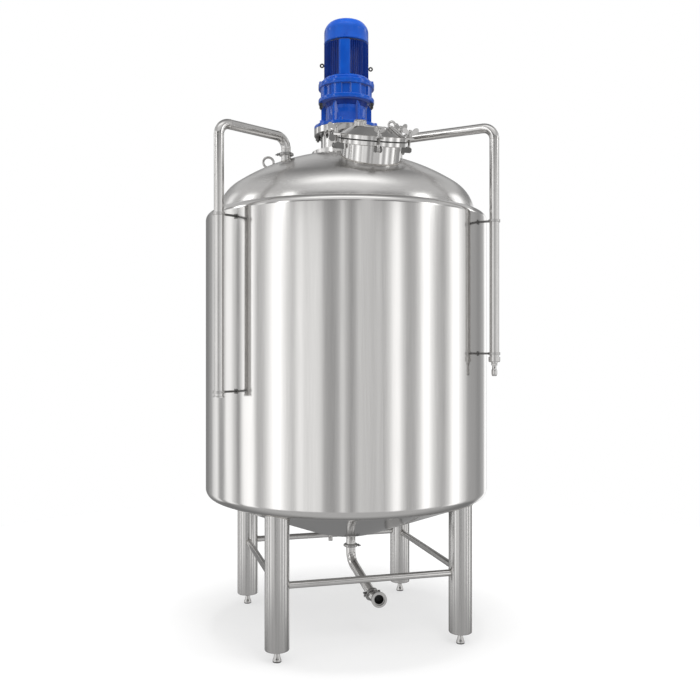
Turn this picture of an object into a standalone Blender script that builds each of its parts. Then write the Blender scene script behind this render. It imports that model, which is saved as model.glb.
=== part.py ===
# Vacuum mixing tank on four legs, in metres, +Z up.
# The origin is on the tank's axis at floor level. -Y is the front, where the manway is.

import math

import bmesh
import bpy
from mathutils import Matrix, Vector

# Seats: touching pieces keep this gap.
GAP = 0.0003

# Insulated wall and vessel
CLADDING_RADIUS = 0.900
VESSEL_RADIUS = 0.8255
VESSEL_WALL = 0.006
VESSEL_BOTTOM_Z = 0.930
SHOULDER_Z = 2.6235
SHOULDER_BEND = 0.045

# Bottom: a shallow cone with a round tip, and a knuckle up to the wall
KNUCKLE_Z = 0.894
KNUCKLE_RADIUS = 0.0585
CONE_SLOPE = 0.37
TIP_RADIUS = 0.715
BOTTOM_THICKNESS = 0.095

# Top head: a dished end with a knuckle and a crown
DOME_Z = 2.6105
DOME_KNUCKLE = 0.234
DOME_CROWN = 1.300
DRIVE_HOLE_RADIUS = 0.118

# Legs, feet and braces
LEG_CIRCLE = 0.7915
LEG_RADIUS = 0.0705
LEG_BOTTOM_Z = 0.068
LEG_PLACES = {"front_left": 225.0, "front_right": 315.0, "back_right": 45.0, "back_left": 135.0}
BRACES = {
    "front": (225.0, 315.0, 0.429),
    "right": (315.0, 45.0, 0.435),
    "back": (45.0, 135.0, 0.441),
    "left": (135.0, 225.0, 0.435),
}
BRACE_RADIUS = 0.020

# Drive on the tank's axis
PAD_RADIUS = 0.224
PAD_TOP_Z = 3.0375
NECK_RADIUS = 0.164
NECK_BORE_RADIUS = 0.120
DRIVE_FLANGE_RADIUS = 0.208
DRIVE_FLANGE_Z = (3.148, 3.187)
GEARBOX_FOOT_TOP_Z = 3.208
GEARBOX_TOP_Z = 3.357
GEARBOX_RADIUS = 0.150
GEARBOX_RIB_RADIUS = 0.163
GEARBOX_RIBS = 8
GEARBOX_FIRST_RIB_DEG = 235.0
RING_LIP_RADIUS = 0.181
RING_DRUM_RADIUS = 0.168
RING_LIP_BOTTOM_Z = 3.386
RING_LIP_TOP_Z = 3.451
RING_TOP_Z = 3.483
MOTOR_BASE_RADIUS = 0.156
MOTOR_FINS_Z = (3.516, 3.744)
MOTOR_FIN_RADIUS = 0.144
MOTOR_ROOT_RADIUS = 0.131
MOTOR_FINS = 32
MOTOR_PANEL_DEG = 255.0
MOTOR_PANEL_HALF_DEG = 14.0
MOTOR_PANEL_RADIUS = 0.142
BOX_FACE_Y = 0.146
BOX_HALF_DEG = 20.0
COWL_RADIUS = 0.1445
COWL_TOP_Z = 3.887
TERMINAL_BOX = (0.110, 0.070, 0.130)
TERMINAL_BOX_Z = 3.625

# Manway: its own frame lies in the joint between lid and neck, and leans to the front
MANWAY_Y = -0.572
MANWAY_Z = 2.992
MANWAY_TILT = math.radians(16.5)
MANWAY_NECK_RADIUS = 0.1735
MANWAY_WALL = 0.006
MANWAY_NECK_DEPTH = 0.260
MANWAY_RIM_RADIUS = 0.2015
MANWAY_RIM_THICKNESS = 0.023
GASKET_HALF = 0.003
GASKET_RADII = (0.150, 0.197)
LID_CONE_RADII = (0.190, 0.118)
LID_CONE_TOP = 0.0745
LID_CROWN = (0.060, 0.0785)
LID_TOP = 0.0800
LID_SKIN = 0.008
LID_RECESS_RADIUS = 0.165
SIGHT_PLACE = (-0.065, 0.052)
SIGHT_RADIUS = 0.0385
SIGHT_TOP = 0.110

# Swing bolts round the manway
BOLT_PLACES = {"right": 354.0, "back": 26.0, "left": 184.0, "front": 263.5}
BOLT_CIRCLE = 0.222
BOLT_RADIUS = 0.008
BOLT_PIVOT_W = -0.045
BOLT_TOP_W = 0.0203
BOLT_EYE_RADIUS = 0.013
BOLT_EYE_HALF = 0.009
BOLT_PIN_RADIUS = 0.005
PIN_CLEARANCE = 0.0003
EAR_INSIDE = 0.0105
EAR_THICKNESS = 0.008
FORK_INSIDE = 0.0135
FORK_THICKNESS = 0.009
FORK_REACH = 0.246
FORK_TOP_W = 0.0256
NUT_TURNS = {"right": 10.0, "back": 90.0, "left": -12.0, "front": 23.5}
NUT_RISES = {"right": 0.0, "back": 0.018, "left": 0.0, "front": 0.0}

# Lid hinge
HINGE_DEG = 150.0
HINGE_REACH = 0.240
HINGE_W = 0.015
HINGE_PIN_RADIUS = 0.006
HINGE_ARM_HALF = 0.015
HINGE_EAR_INSIDE = 0.0165

# Lid handle, a bent rod on the side away from the hinge
HANDLE_DEG = 318.0
HANDLE_ROD = 0.0065
HANDLE_CURL = (0.117, 0.092)
HANDLE_CURL_RADIUS = 0.0195

# Side pipes: (direction in degrees, nozzle distance, down-pipe distance, height of the run)
PIPE_RADIUS = 0.0285
PIPE_BEND = 0.072
FERRULE_RADIUS = 0.0345
FERRULE_HEIGHT = 0.007
CLAMP_RADIUS = 0.0430
CLAMP_HALF = 0.009
LEFT_PIPE = (210.2, 0.520, 1.0205, 3.050)
RIGHT_PIPE = (315.7, 0.370, 1.0010, 3.085)
NOZZLE_STAND = 0.033
LEFT_PIPE_END_Z = 1.501
RIGHT_PIPE_END_Z = 1.612
RIGHT_COLLAR_Z = (1.695, 1.7247)
RIGHT_TIP_RADIUS = 0.017
LEFT_BRACKET_Z = (2.533, 1.531)
RIGHT_BRACKET_Z = (2.529, 1.745)
BRACKET_HALF = 0.008

# Lifting lugs on the top head
LUG_PLACES = {"left": 180.0, "right": 0.0}
LUG_DISTANCE = 0.511
LUG_CENTRE_Z = 2.951
LUG_RING = 0.033
LUG_ROD = 0.0075

# Outlet under the bottom
OUTLET_PLACE = (0.028, -0.008)
OUTLET_RADIUS = 0.030
OUTLET_BORE = 0.0265
OUTLET_FERRULE = 0.036
OUTLET_CLAMP_RADIUS = 0.044
OUTLET_JOINT_Z = 0.4975
OUTLET_CORNER_Z = 0.404
OUTLET_BEND = 0.090
OUTLET_ELBOW_END = (0.0737, -0.330, 0.267)
OUTLET_FACE = (0.0891, -0.4285, 0.258)
OUTLET_FACE_DEG = 262.0
OUTLET_BODY_RADIUS = 0.0335
OUTLET_RING_RADIUS = 0.0475
OUTLET_RING_LENGTH = 0.014
OUTLET_MOUTH_RADIUS = 0.035
STUB_PLACE = (-0.099, 0.027)
STUB_RADIUS = 0.0135
STUB_BOTTOM_Z = 0.525

# Facets
TANK_SIDES = 48
LEG_SIDES = 32
DRIVE_SIDES = 40
MANWAY_SIDES = 40
PIPE_SIDES = 20
SMALL_SIDES = 16
BOLT_SIDES = 12
SHARP_ANGLE = math.radians(35)


def clear_scene():
    for old in list(bpy.data.objects):
        bpy.data.objects.remove(old, do_unlink=True)


def material(name, colour, metallic, roughness):
    made = bpy.data.materials.new(name)
    made.use_nodes = True
    shader = made.node_tree.nodes["Principled BSDF"]
    shader.inputs["Base Color"].default_value = (*colour, 1.0)
    shader.inputs["Metallic"].default_value = metallic
    shader.inputs["Roughness"].default_value = roughness
    return made


def on_circle(distance, degrees):
    angle = math.radians(degrees)
    return distance * math.cos(angle), distance * math.sin(angle)


def arc(centre_r, centre_z, radius, first, last, steps):
    """Points (r, z) along an arc, angles in radians from +r towards +z."""
    points = []
    for step in range(steps + 1):
        angle = first + (last - first) * step / steps
        points.append((centre_r + radius * math.cos(angle), centre_z + radius * math.sin(angle)))
    return points


def add_object(name, mesh_builder, surface, matrix=None, helper=False):
    """One named object from a bmesh; a helper is a cutter or a piece that is joined to another."""
    mesh = bpy.data.meshes.new(name)
    bmesh.ops.recalc_face_normals(mesh_builder, faces=mesh_builder.faces)
    mesh_builder.to_mesh(mesh)
    mesh_builder.free()
    mesh.shade_smooth()
    mesh.set_sharp_from_angle(angle=SHARP_ANGLE)
    if surface is not None:
        mesh.materials.append(surface)
    made = bpy.data.objects.new(name, mesh)
    bpy.context.scene.collection.objects.link(made)
    if matrix is not None:
        made.matrix_world = matrix
    if helper:
        made.hide_render = True
        made.display_type = "WIRE"
    return made


def combine(target, other, operation):
    modifier = target.modifiers.new(f"{operation.lower()}_{other.name}", "BOOLEAN")
    modifier.operation = operation
    modifier.solver = "EXACT"
    modifier.object = other


def cut(target, *cutters):
    for cutter in cutters:
        combine(target, cutter, "DIFFERENCE")


def join(target, *pieces):
    for piece in pieces:
        combine(target, piece, "UNION")


def turned(outline, sides, phase=0.0):
    """A closed outline of (r, z) points turned round Z; a point with r = 0 becomes one vertex."""
    built = bmesh.new()
    rings = []
    for radius, height in outline:
        if radius < 1e-7:
            rings.append([built.verts.new((0.0, 0.0, height))])
            continue
        ring = []
        for side in range(sides):
            angle = 2 * math.pi * side / sides + phase
            ring.append(built.verts.new((radius * math.cos(angle), radius * math.sin(angle), height)))
        rings.append(ring)
    for here, there in zip(rings, rings[1:] + rings[:1]):
        if len(here) == 1 and len(there) == 1:
            continue
        for side in range(sides):
            after = (side + 1) % sides
            if len(here) == 1:
                built.faces.new((here[0], there[after], there[side]))
            elif len(there) == 1:
                built.faces.new((here[side], here[after], there[0]))
            else:
                built.faces.new((here[side], here[after], there[after], there[side]))
    return built


def rod(radius, low, high, sides):
    return turned([(0.0, low), (radius, low), (radius, high), (0.0, high)], sides)


def prism(outline, low, high):
    """An outline of (x, y) points raised along Z from low to high."""
    built = bmesh.new()
    bottom = [built.verts.new((x, y, low)) for x, y in outline]
    top = [built.verts.new((x, y, high)) for x, y in outline]
    built.faces.new(list(reversed(bottom)))
    built.faces.new(top)
    for here in range(len(outline)):
        after = (here + 1) % len(outline)
        built.faces.new((bottom[here], bottom[after], top[after], top[here]))
    return built


def box(low, high):
    corners = [(low[0], low[1]), (high[0], low[1]), (high[0], high[1]), (low[0], high[1])]
    return prism(corners, low[2], high[2])


def rounded_route(corners, bend, steps):
    """A route through the corners, with each inner corner rounded to the bend radius."""
    route = [Vector(corners[0])]
    for before, corner, after in zip(corners, corners[1:], corners[2:]):
        corner = Vector(corner)
        back = (Vector(before) - corner).normalized()
        ahead = (Vector(after) - corner).normalized()
        half = back.angle(ahead) / 2
        centre = corner + (back + ahead).normalized() * (bend / math.sin(half))
        start = corner + back * (bend / math.tan(half)) - centre
        axis = ahead.cross(back).normalized()
        turn = math.pi - 2 * half
        for step in range(steps + 1):
            route.append(centre + Matrix.Rotation(turn * step / steps, 3, axis) @ start)
    route.append(Vector(corners[-1]))
    return route


def swept(route, radii, sides, across):
    """A solid round bar along a route, with a radius at each point; repeated points make a step."""
    built = bmesh.new()
    headings = []
    for place, point in enumerate(route):
        before = next((p for p in reversed(route[:place]) if (p - point).length > 1e-7), None)
        after = next((p for p in route[place + 1:] if (p - point).length > 1e-7), None)
        back = (point - before).normalized() if before is not None else Vector()
        ahead = (after - point).normalized() if after is not None else Vector()
        headings.append((back + ahead).normalized())
    rings = []
    for place, (point, radius) in enumerate(zip(route, radii)):
        heading = headings[place]
        across = (across - heading * across.dot(heading)).normalized()
        beside = heading.cross(across)
        ring = []
        for side in range(sides):
            angle = 2 * math.pi * side / sides
            ring.append(built.verts.new(point + radius * (math.cos(angle) * across + math.sin(angle) * beside)))
        rings.append(ring)
    for here, there in zip(rings, rings[1:]):
        for side in range(sides):
            after = (side + 1) % sides
            built.faces.new((here[side], here[after], there[after], there[side]))
    built.faces.new(list(reversed(rings[0])))
    built.faces.new(rings[-1])
    return built


def cone_angle():
    return math.atan(CONE_SLOPE)


def tip_centre_z():
    """Height of the centre of the round tip, which touches the cone from inside."""
    angle = cone_angle()
    cone_r = CLADDING_RADIUS - KNUCKLE_RADIUS + KNUCKLE_RADIUS * math.sin(angle)
    cone_z = KNUCKLE_Z - KNUCKLE_RADIUS * math.cos(angle)
    tip_r = TIP_RADIUS * math.sin(angle)
    return cone_z - CONE_SLOPE * (cone_r - tip_r) + TIP_RADIUS * math.cos(angle)


def bottom_curve(offset):
    """Underside from the axis to the wall, moved outwards by the offset."""
    angle = cone_angle()
    down = -math.pi / 2
    tip = arc(0.0, tip_centre_z(), TIP_RADIUS + offset, down, down + angle, 5)
    tip[0] = (0.0, tip[0][1])
    knuckle_centre = CLADDING_RADIUS - KNUCKLE_RADIUS
    return tip + arc(knuckle_centre, KNUCKLE_Z, KNUCKLE_RADIUS + offset, down + angle, 0.0, 5)


def cone_height(distance, offset):
    """Height of the cone at a distance from the axis, moved outwards by the offset."""
    angle = cone_angle()
    edge_r = TIP_RADIUS * math.sin(angle)
    edge_z = tip_centre_z() - TIP_RADIUS * math.cos(angle)
    return edge_z + CONE_SLOPE * (distance - edge_r) - offset / math.cos(angle)


def dome_centre_z():
    reach = (DOME_CROWN - DOME_KNUCKLE) ** 2 - (VESSEL_RADIUS - DOME_KNUCKLE) ** 2
    return DOME_Z - math.sqrt(reach)


def dome_height(distance):
    return dome_centre_z() + math.sqrt(DOME_CROWN ** 2 - distance ** 2)


def dome_curve(offset, knuckle_steps=6, crown_steps=6):
    """Top head from its rim up to the axis, moved outwards by the offset."""
    centre_r = VESSEL_RADIUS - DOME_KNUCKLE
    centre_z = dome_centre_z()
    meet = math.atan2(DOME_Z - centre_z, centre_r)
    knuckle = arc(centre_r, DOME_Z, DOME_KNUCKLE + offset, 0.0, meet, knuckle_steps)
    crown = arc(0.0, centre_z, DOME_CROWN + offset, meet, math.pi / 2, crown_steps)[1:]
    crown[-1] = (0.0, crown[-1][1])
    return knuckle + crown


def manway_matrix(degrees=0.0):
    place = Matrix.Translation((0.0, MANWAY_Y, MANWAY_Z))
    return place @ Matrix.Rotation(MANWAY_TILT, 4, "X") @ Matrix.Rotation(math.radians(degrees), 4, "Z")


def upright(matrix):
    """Turns a plan outline so that its Y runs up the local Z, and its thickness along local -Y."""
    return matrix @ Matrix.Rotation(math.pi / 2, 4, "X")


def facing(direction, beside):
    """Turns Z to the direction, and X to the part of beside that is square to it."""
    across = (beside - direction * beside.dot(direction)).normalized()
    return Matrix((across, direction.cross(across), direction)).transposed().to_4x4()


def around_tank(degrees):
    return Matrix.Rotation(math.radians(degrees), 4, "Z")


def outlet_matrix(height):
    """Stands on the outlet's axis at a height, with X the way the outlet pipe goes."""
    x, y = OUTLET_PLACE
    way = math.atan2(OUTLET_ELBOW_END[1] - y, OUTLET_ELBOW_END[0] - x)
    return Matrix.Translation((x, y, height)) @ Matrix.Rotation(way, 4, "Z")


clear_scene()
SHELL_STEEL = material("shell_steel", (0.72, 0.71, 0.70), 1.0, 0.30)
HEAD_STEEL = material("head_steel", (0.70, 0.69, 0.68), 1.0, 0.26)
TUBE_STEEL = material("tube_steel", (0.74, 0.73, 0.72), 1.0, 0.22)
FITTING_STEEL = material("fitting_steel", (0.68, 0.68, 0.67), 1.0, 0.25)
DRIVE_BLUE = material("drive_blue", (0.01, 0.09, 0.50), 0.0, 0.35)
FIN_BLUE = material("fin_blue", (0.01, 0.04, 0.28), 0.0, 0.40)
GASKET_BLACK = material("gasket_black", (0.03, 0.03, 0.03), 0.0, 0.60)


# Cutters that follow the tank's outer and inner surfaces
def tank_cutters():
    outer = bottom_curve(GAP)
    outer += [(CLADDING_RADIUS + GAP, SHOULDER_Z + GAP), (VESSEL_RADIUS + GAP, SHOULDER_Z + GAP)]
    outer += dome_curve(GAP)[1:]
    hull = add_object("tank_hull_cutter", turned(outer, TANK_SIDES), None, helper=True)
    inside = 4 * VESSEL_WALL
    room = [(0.0, 2.0), (VESSEL_RADIUS - inside, 2.0)] + dome_curve(-inside, 4, 4)
    void = add_object("tank_room_cutter", turned(room, TANK_SIDES), None, helper=True)
    return hull, void


TANK_HULL, TANK_ROOM = tank_cutters()


# Tank body
def build_cladding():
    inner = VESSEL_RADIUS + GAP
    outline = [(inner, cone_height(inner, 0.0))]
    outline += bottom_curve(0.0)[6:]
    outline += arc(CLADDING_RADIUS - SHOULDER_BEND, SHOULDER_Z - SHOULDER_BEND, SHOULDER_BEND, 0.0, math.pi / 2, 5)
    outline += [(inner, SHOULDER_Z)]
    add_object("cladding", turned(outline, TANK_SIDES), SHELL_STEEL)


def build_vessel_wall():
    inner = VESSEL_RADIUS - VESSEL_WALL
    low = VESSEL_BOTTOM_Z + GAP
    high = DOME_Z - GAP
    outline = [(inner, low), (VESSEL_RADIUS, low), (VESSEL_RADIUS, high), (inner, high)]
    add_object("vessel_wall", turned(outline, TANK_SIDES), SHELL_STEEL)


def build_bottom_head():
    inner_r = VESSEL_RADIUS - VESSEL_WALL
    outline = bottom_curve(0.0)[:6]
    outline += [(VESSEL_RADIUS, cone_height(VESSEL_RADIUS, 0.0)), (VESSEL_RADIUS, VESSEL_BOTTOM_Z)]
    outline += [(inner_r, VESSEL_BOTTOM_Z), (inner_r, cone_height(inner_r, -BOTTOM_THICKNESS))]
    outline += list(reversed(bottom_curve(-BOTTOM_THICKNESS)[:6]))
    head = add_object("bottom_head", turned(outline, TANK_SIDES), HEAD_STEEL)
    hole = rod(OUTLET_RADIUS + GAP, 0.4, 0.9, PIPE_SIDES)
    cut(head, add_object("outlet_hole_cutter", hole, None, outlet_matrix(0.0), helper=True))


def build_top_head():
    outer = dome_curve(0.0)
    inner = dome_curve(-VESSEL_WALL, 4, 4)
    head = add_object("top_head", turned(outer + list(reversed(inner)), TANK_SIDES), HEAD_STEEL)
    drive_hole = rod(DRIVE_HOLE_RADIUS, 2.9, 3.1, DRIVE_SIDES)
    cut(head, add_object("drive_hole_cutter", drive_hole, None, helper=True))
    manway_hole = rod(MANWAY_NECK_RADIUS + GAP, -0.5, 0.1, MANWAY_SIDES)
    cut(head, add_object("manway_hole_cutter", manway_hole, None, manway_matrix(), helper=True))
    for side, (degrees, distance, _, _) in (("left", LEFT_PIPE), ("right", RIGHT_PIPE)):
        place = around_tank(degrees) @ Matrix.Translation((distance, 0.0, 0.0))
        hole = rod(PIPE_RADIUS + GAP, 2.7, 3.1, PIPE_SIDES)
        cut(head, add_object(f"{side}_nozzle_hole_cutter", hole, None, place, helper=True))


# Legs with their feet, and the braces between them
def build_leg(place, degrees):
    x, y = on_circle(LEG_CIRCLE, degrees)
    lip = 0.004
    outline = [(0.0, LEG_BOTTOM_Z), (LEG_RADIUS - lip, LEG_BOTTOM_Z), (LEG_RADIUS, LEG_BOTTOM_Z + lip)]
    outline += [(LEG_RADIUS, 0.90), (0.0, 0.90)]
    leg = add_object(f"leg_{place}", turned(outline, LEG_SIDES), TUBE_STEEL, Matrix.Translation((x, y, 0.0)))
    cut(leg, TANK_HULL)
    top = LEG_BOTTOM_Z - GAP
    bell = [(0.0, 0.0), (0.0235, 0.0), (0.0250, 0.003), (0.0250, 0.012), (0.0215, 0.018)]
    bell += [(0.0165, 0.036), (0.0140, 0.050), (0.0140, top), (0.0, top)]
    add_object(f"foot_{place}", turned(bell, SMALL_SIDES), FITTING_STEEL, Matrix.Translation((x, y, 0.0)))


def build_brace(name, first, second, height):
    start = Vector((*on_circle(LEG_CIRCLE, first), height))
    end = Vector((*on_circle(LEG_CIRCLE, second), height))
    bar = swept([start, end], [BRACE_RADIUS] * 2, SMALL_SIDES, Vector((0.0, 0.0, 1.0)))
    brace = add_object(name, bar, TUBE_STEEL)
    for number, point in enumerate((start, end)):
        place = Matrix.Translation((point.x, point.y, 0.0))
        cope = rod(LEG_RADIUS + GAP, 0.2, 0.7, LEG_SIDES)
        cut(brace, add_object(f"{name}_cope_cutter_{number}", cope, None, place, helper=True))


# Drive
def build_drive_neck():
    low, high = DRIVE_FLANGE_Z
    chamfer = 0.003
    outline = [(NECK_BORE_RADIUS, 2.95), (PAD_RADIUS, 2.95), (PAD_RADIUS, PAD_TOP_Z - chamfer)]
    outline += [(PAD_RADIUS - chamfer, PAD_TOP_Z), (NECK_RADIUS, PAD_TOP_Z), (NECK_RADIUS, low)]
    outline += [(DRIVE_FLANGE_RADIUS, low), (DRIVE_FLANGE_RADIUS, high), (NECK_BORE_RADIUS, high)]
    neck = add_object("drive_neck", turned(outline, DRIVE_SIDES), FITTING_STEEL)
    cut(neck, TANK_HULL)


def ribbed_outline(count, tip_radius, root_radius, first_degrees, tip_share):
    """A round outline with raised ribs, each of which takes a share of its pitch at the tip."""
    outline = []
    pitch = 360.0 / count
    for number in range(count):
        centre = first_degrees + number * pitch
        half_tip = pitch * tip_share / 2
        outline.append(on_circle(root_radius, centre - half_tip * 1.3))
        outline.append(on_circle(tip_radius, centre - half_tip))
        outline.append(on_circle(tip_radius, centre + half_tip))
        outline.append(on_circle(root_radius, centre + half_tip * 1.3))
        for fill in (0.33, 0.66):
            gap_start = centre + half_tip * 1.3
            gap_width = pitch - 2 * half_tip * 1.3
            outline.append(on_circle(root_radius, gap_start + gap_width * fill))
    return outline


def build_gearbox():
    foot_low = DRIVE_FLANGE_Z[1] + GAP
    overlap = 0.004
    body = ribbed_outline(GEARBOX_RIBS, GEARBOX_RIB_RADIUS, GEARBOX_RADIUS, GEARBOX_FIRST_RIB_DEG, 0.16)
    housing = add_object("gearbox_housing", prism(body, GEARBOX_FOOT_TOP_Z - overlap, GEARBOX_TOP_Z - GAP), DRIVE_BLUE)
    foot = rod(DRIVE_FLANGE_RADIUS, foot_low, GEARBOX_FOOT_TOP_Z, DRIVE_SIDES)
    join(housing, add_object("gearbox_foot", foot, DRIVE_BLUE, helper=True))
    outline = [(0.0, GEARBOX_TOP_Z), (RING_LIP_RADIUS, GEARBOX_TOP_Z), (RING_LIP_RADIUS, RING_LIP_BOTTOM_Z)]
    outline += [(RING_DRUM_RADIUS, RING_LIP_BOTTOM_Z), (RING_DRUM_RADIUS, RING_LIP_TOP_Z)]
    outline += [(RING_LIP_RADIUS, RING_LIP_TOP_Z), (RING_LIP_RADIUS, RING_TOP_Z), (0.0, RING_TOP_Z)]
    add_object("gearbox_ring", turned(outline, DRIVE_SIDES), DRIVE_BLUE)


def motor_radius(degrees, on_tip):
    """Distance of the motor's side: a smooth panel in front, a flat face at the back, fins elsewhere."""
    if abs((degrees - MOTOR_PANEL_DEG + 180.0) % 360.0 - 180.0) < MOTOR_PANEL_HALF_DEG:
        return MOTOR_PANEL_RADIUS
    from_back = (degrees - 90.0 + 180.0) % 360.0 - 180.0
    if abs(from_back) < BOX_HALF_DEG:
        return BOX_FACE_Y / math.cos(math.radians(from_back))
    return MOTOR_FIN_RADIUS if on_tip else MOTOR_ROOT_RADIUS


def build_motor():
    fins_low, fins_high = MOTOR_FINS_Z
    outline = []
    pitch = 360.0 / MOTOR_FINS
    for number in range(MOTOR_FINS):
        for share, on_tip in ((0.0, True), (0.36, True), (0.48, False), (0.88, False)):
            degrees = pitch * (number + share)
            outline.append(on_circle(motor_radius(degrees, on_tip), degrees))
    overlap = 0.006
    motor = add_object("motor_body", prism(outline, fins_low - overlap, fins_high), FIN_BLUE)
    base_low = RING_TOP_Z + GAP
    base = [(0.0, base_low), (MOTOR_BASE_RADIUS, base_low), (MOTOR_BASE_RADIUS, base_low + 0.014)]
    base += [(0.1495, base_low + 0.020), (0.1495, fins_low), (0.0, fins_low)]
    join(motor, add_object("motor_base", turned(base, DRIVE_SIDES), DRIVE_BLUE, helper=True))
    cowl_low = fins_high + GAP
    cowl = [(0.0, cowl_low), (COWL_RADIUS, cowl_low), (COWL_RADIUS, 3.822), (0.1400, 3.837), (0.1330, 3.851)]
    cowl += [(0.1240, 3.8665), (0.1140, 3.8785), (0.0975, 3.8855), (0.0, COWL_TOP_Z)]
    add_object("fan_cowl", turned(cowl, DRIVE_SIDES), DRIVE_BLUE)
    width, depth, height = TERMINAL_BOX
    low = (-width / 2, BOX_FACE_Y + GAP, TERMINAL_BOX_Z - height / 2)
    high = (width / 2, BOX_FACE_Y + depth, TERMINAL_BOX_Z + height / 2)
    terminal_box = add_object("terminal_box", box(low, high), DRIVE_BLUE)
    bevel = terminal_box.modifiers.new("rounded_edges", "BEVEL")
    bevel.width = 0.008
    bevel.segments = 2


# Manway
def ear_plate(outline, low, high, matrix, name):
    """A plate standing on edge across the joint: outline in (reach, height), thickness low to high."""
    return add_object(name, prism(outline, low, high), FITTING_STEEL, upright(matrix), helper=True)


def pin(name, reach, height, half_length, radius, matrix, helper=True):
    place = upright(matrix) @ Matrix.Translation((reach, height, 0.0))
    return add_object(name, rod(radius, -half_length, half_length, SMALL_SIDES), FITTING_STEEL, place, helper)


def build_manway_neck():
    outer = MANWAY_NECK_RADIUS
    inner = outer - MANWAY_WALL
    top = -GASKET_HALF - GAP
    under = top - MANWAY_RIM_THICKNESS
    outline = [(inner, -MANWAY_NECK_DEPTH), (outer, -MANWAY_NECK_DEPTH), (outer, under)]
    outline += [(MANWAY_RIM_RADIUS, under), (MANWAY_RIM_RADIUS, top), (inner, top)]
    neck = add_object("manway_neck", turned(outline, MANWAY_SIDES), HEAD_STEEL, manway_matrix())
    cut(neck, TANK_ROOM)
    ear = [(0.180, under + 0.004), (0.180, -0.060), (0.236, -0.060), (0.236, -0.031), (0.206, under + 0.004)]
    for place, degrees in BOLT_PLACES.items():
        matrix = manway_matrix(degrees)
        outside = EAR_INSIDE + EAR_THICKNESS
        for side, low in (("a", -outside), ("b", EAR_INSIDE)):
            join(neck, ear_plate(ear, low, low + EAR_THICKNESS, matrix, f"bolt_ear_{place}_{side}"))
        join(neck, pin(f"bolt_pin_{place}", BOLT_CIRCLE, BOLT_PIVOT_W, outside - 0.002, BOLT_PIN_RADIUS, matrix))
    hinge_ear = [(0.192, top - 0.001), (0.192, under + 0.001), (0.246, under + 0.001), (0.255, -0.015)]
    hinge_ear += [(0.255, 0.022), (0.249, 0.028), (0.213, 0.028), (0.208, 0.022), (0.208, top - 0.001)]
    matrix = manway_matrix(HINGE_DEG)
    outside = HINGE_EAR_INSIDE + EAR_THICKNESS
    for side, low in (("a", -outside), ("b", HINGE_EAR_INSIDE)):
        join(neck, ear_plate(hinge_ear, low, low + EAR_THICKNESS, matrix, f"hinge_ear_{side}"))
    join(neck, pin("hinge_pin", HINGE_REACH, HINGE_W, outside + 0.004, HINGE_PIN_RADIUS, matrix))


def build_gasket():
    low, high = -GASKET_HALF, GASKET_HALF
    inner, outer = MANWAY_NECK_RADIUS - MANWAY_WALL, GASKET_RADII[1]
    outline = [(inner, low), (outer, low), (outer, high), (inner, high)]
    add_object("manway_gasket", turned(outline, MANWAY_SIDES), GASKET_BLACK, manway_matrix())


def lid_outline(offset):
    """The lid's outer side from the rim to the axis, raised by the offset."""
    cone_out, cone_in = LID_CONE_RADII
    rim_top = GASKET_HALF + GAP + MANWAY_RIM_THICKNESS
    points = [(MANWAY_RIM_RADIUS, rim_top), (cone_out, rim_top), (cone_in, LID_CONE_TOP), LID_CROWN, (0.0, LID_TOP)]
    return [(radius, height + offset) for radius, height in points]


def build_manway_lid():
    bottom = GASKET_HALF + GAP
    cone_out, cone_in = LID_CONE_RADII
    slope = (LID_CONE_TOP - bottom - MANWAY_RIM_THICKNESS) / (cone_out - cone_in)
    recess_top = LID_CONE_TOP - 1.3 * LID_SKIN - slope * (LID_RECESS_RADIUS - cone_in)
    outline = [(LID_RECESS_RADIUS, bottom), (MANWAY_RIM_RADIUS, bottom)] + lid_outline(0.0)
    outline += [(0.0, LID_TOP - LID_SKIN), (LID_CROWN[0], LID_CROWN[1] - LID_SKIN)]
    outline += [(cone_in - 0.004, LID_CONE_TOP - LID_SKIN), (LID_RECESS_RADIUS, recess_top)]
    lid = add_object("manway_lid", turned(outline, MANWAY_SIDES), HEAD_STEEL, manway_matrix())
    rim_top = bottom + MANWAY_RIM_THICKNESS
    fork_low = FORK_TOP_W - 0.011
    fork = [(0.186, fork_low), (FORK_REACH, fork_low), (FORK_REACH, FORK_TOP_W), (0.186, FORK_TOP_W)]
    for place, degrees in BOLT_PLACES.items():
        for side, low in (("a", -FORK_INSIDE - FORK_THICKNESS), ("b", FORK_INSIDE)):
            prong = ear_plate(fork, low, low + FORK_THICKNESS, manway_matrix(degrees), f"fork_{place}_{side}")
            join(lid, prong)
    matrix = manway_matrix(HINGE_DEG)
    eye = 0.0125
    arm = [(0.190, bottom + 0.002), (HINGE_REACH, HINGE_W - eye)]
    arm += arc(HINGE_REACH, HINGE_W, eye, -math.pi / 3, math.pi / 3, 4)
    arm += [(HINGE_REACH, HINGE_W + eye), (0.190, rim_top - 0.001)]
    join(lid, ear_plate(arm, -HINGE_ARM_HALF, HINGE_ARM_HALF, matrix, "hinge_arm"))
    hole = pin("hinge_hole_cutter", HINGE_REACH, HINGE_W, 0.03, HINGE_PIN_RADIUS + PIN_CLEARANCE, matrix)
    cut(lid, hole)
    cutter_outline = [(0.0, -0.05), (MANWAY_RIM_RADIUS, -0.05)] + lid_outline(GAP)
    return add_object("lid_cutter", turned(cutter_outline, MANWAY_SIDES), None, manway_matrix(), helper=True)


def build_sight_cap(lid_cutter):
    place = manway_matrix() @ Matrix.Translation((*SIGHT_PLACE, 0.0))
    outline = [(0.0, 0.030), (SIGHT_RADIUS, 0.030), (SIGHT_RADIUS, SIGHT_TOP - 0.015)]
    outline += [(0.034, SIGHT_TOP - 0.006), (0.018, SIGHT_TOP - 0.001), (0.0, SIGHT_TOP)]
    cap = add_object("sight_cap", turned(outline, 20), FITTING_STEEL, place)
    cut(cap, lid_cutter)


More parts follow.
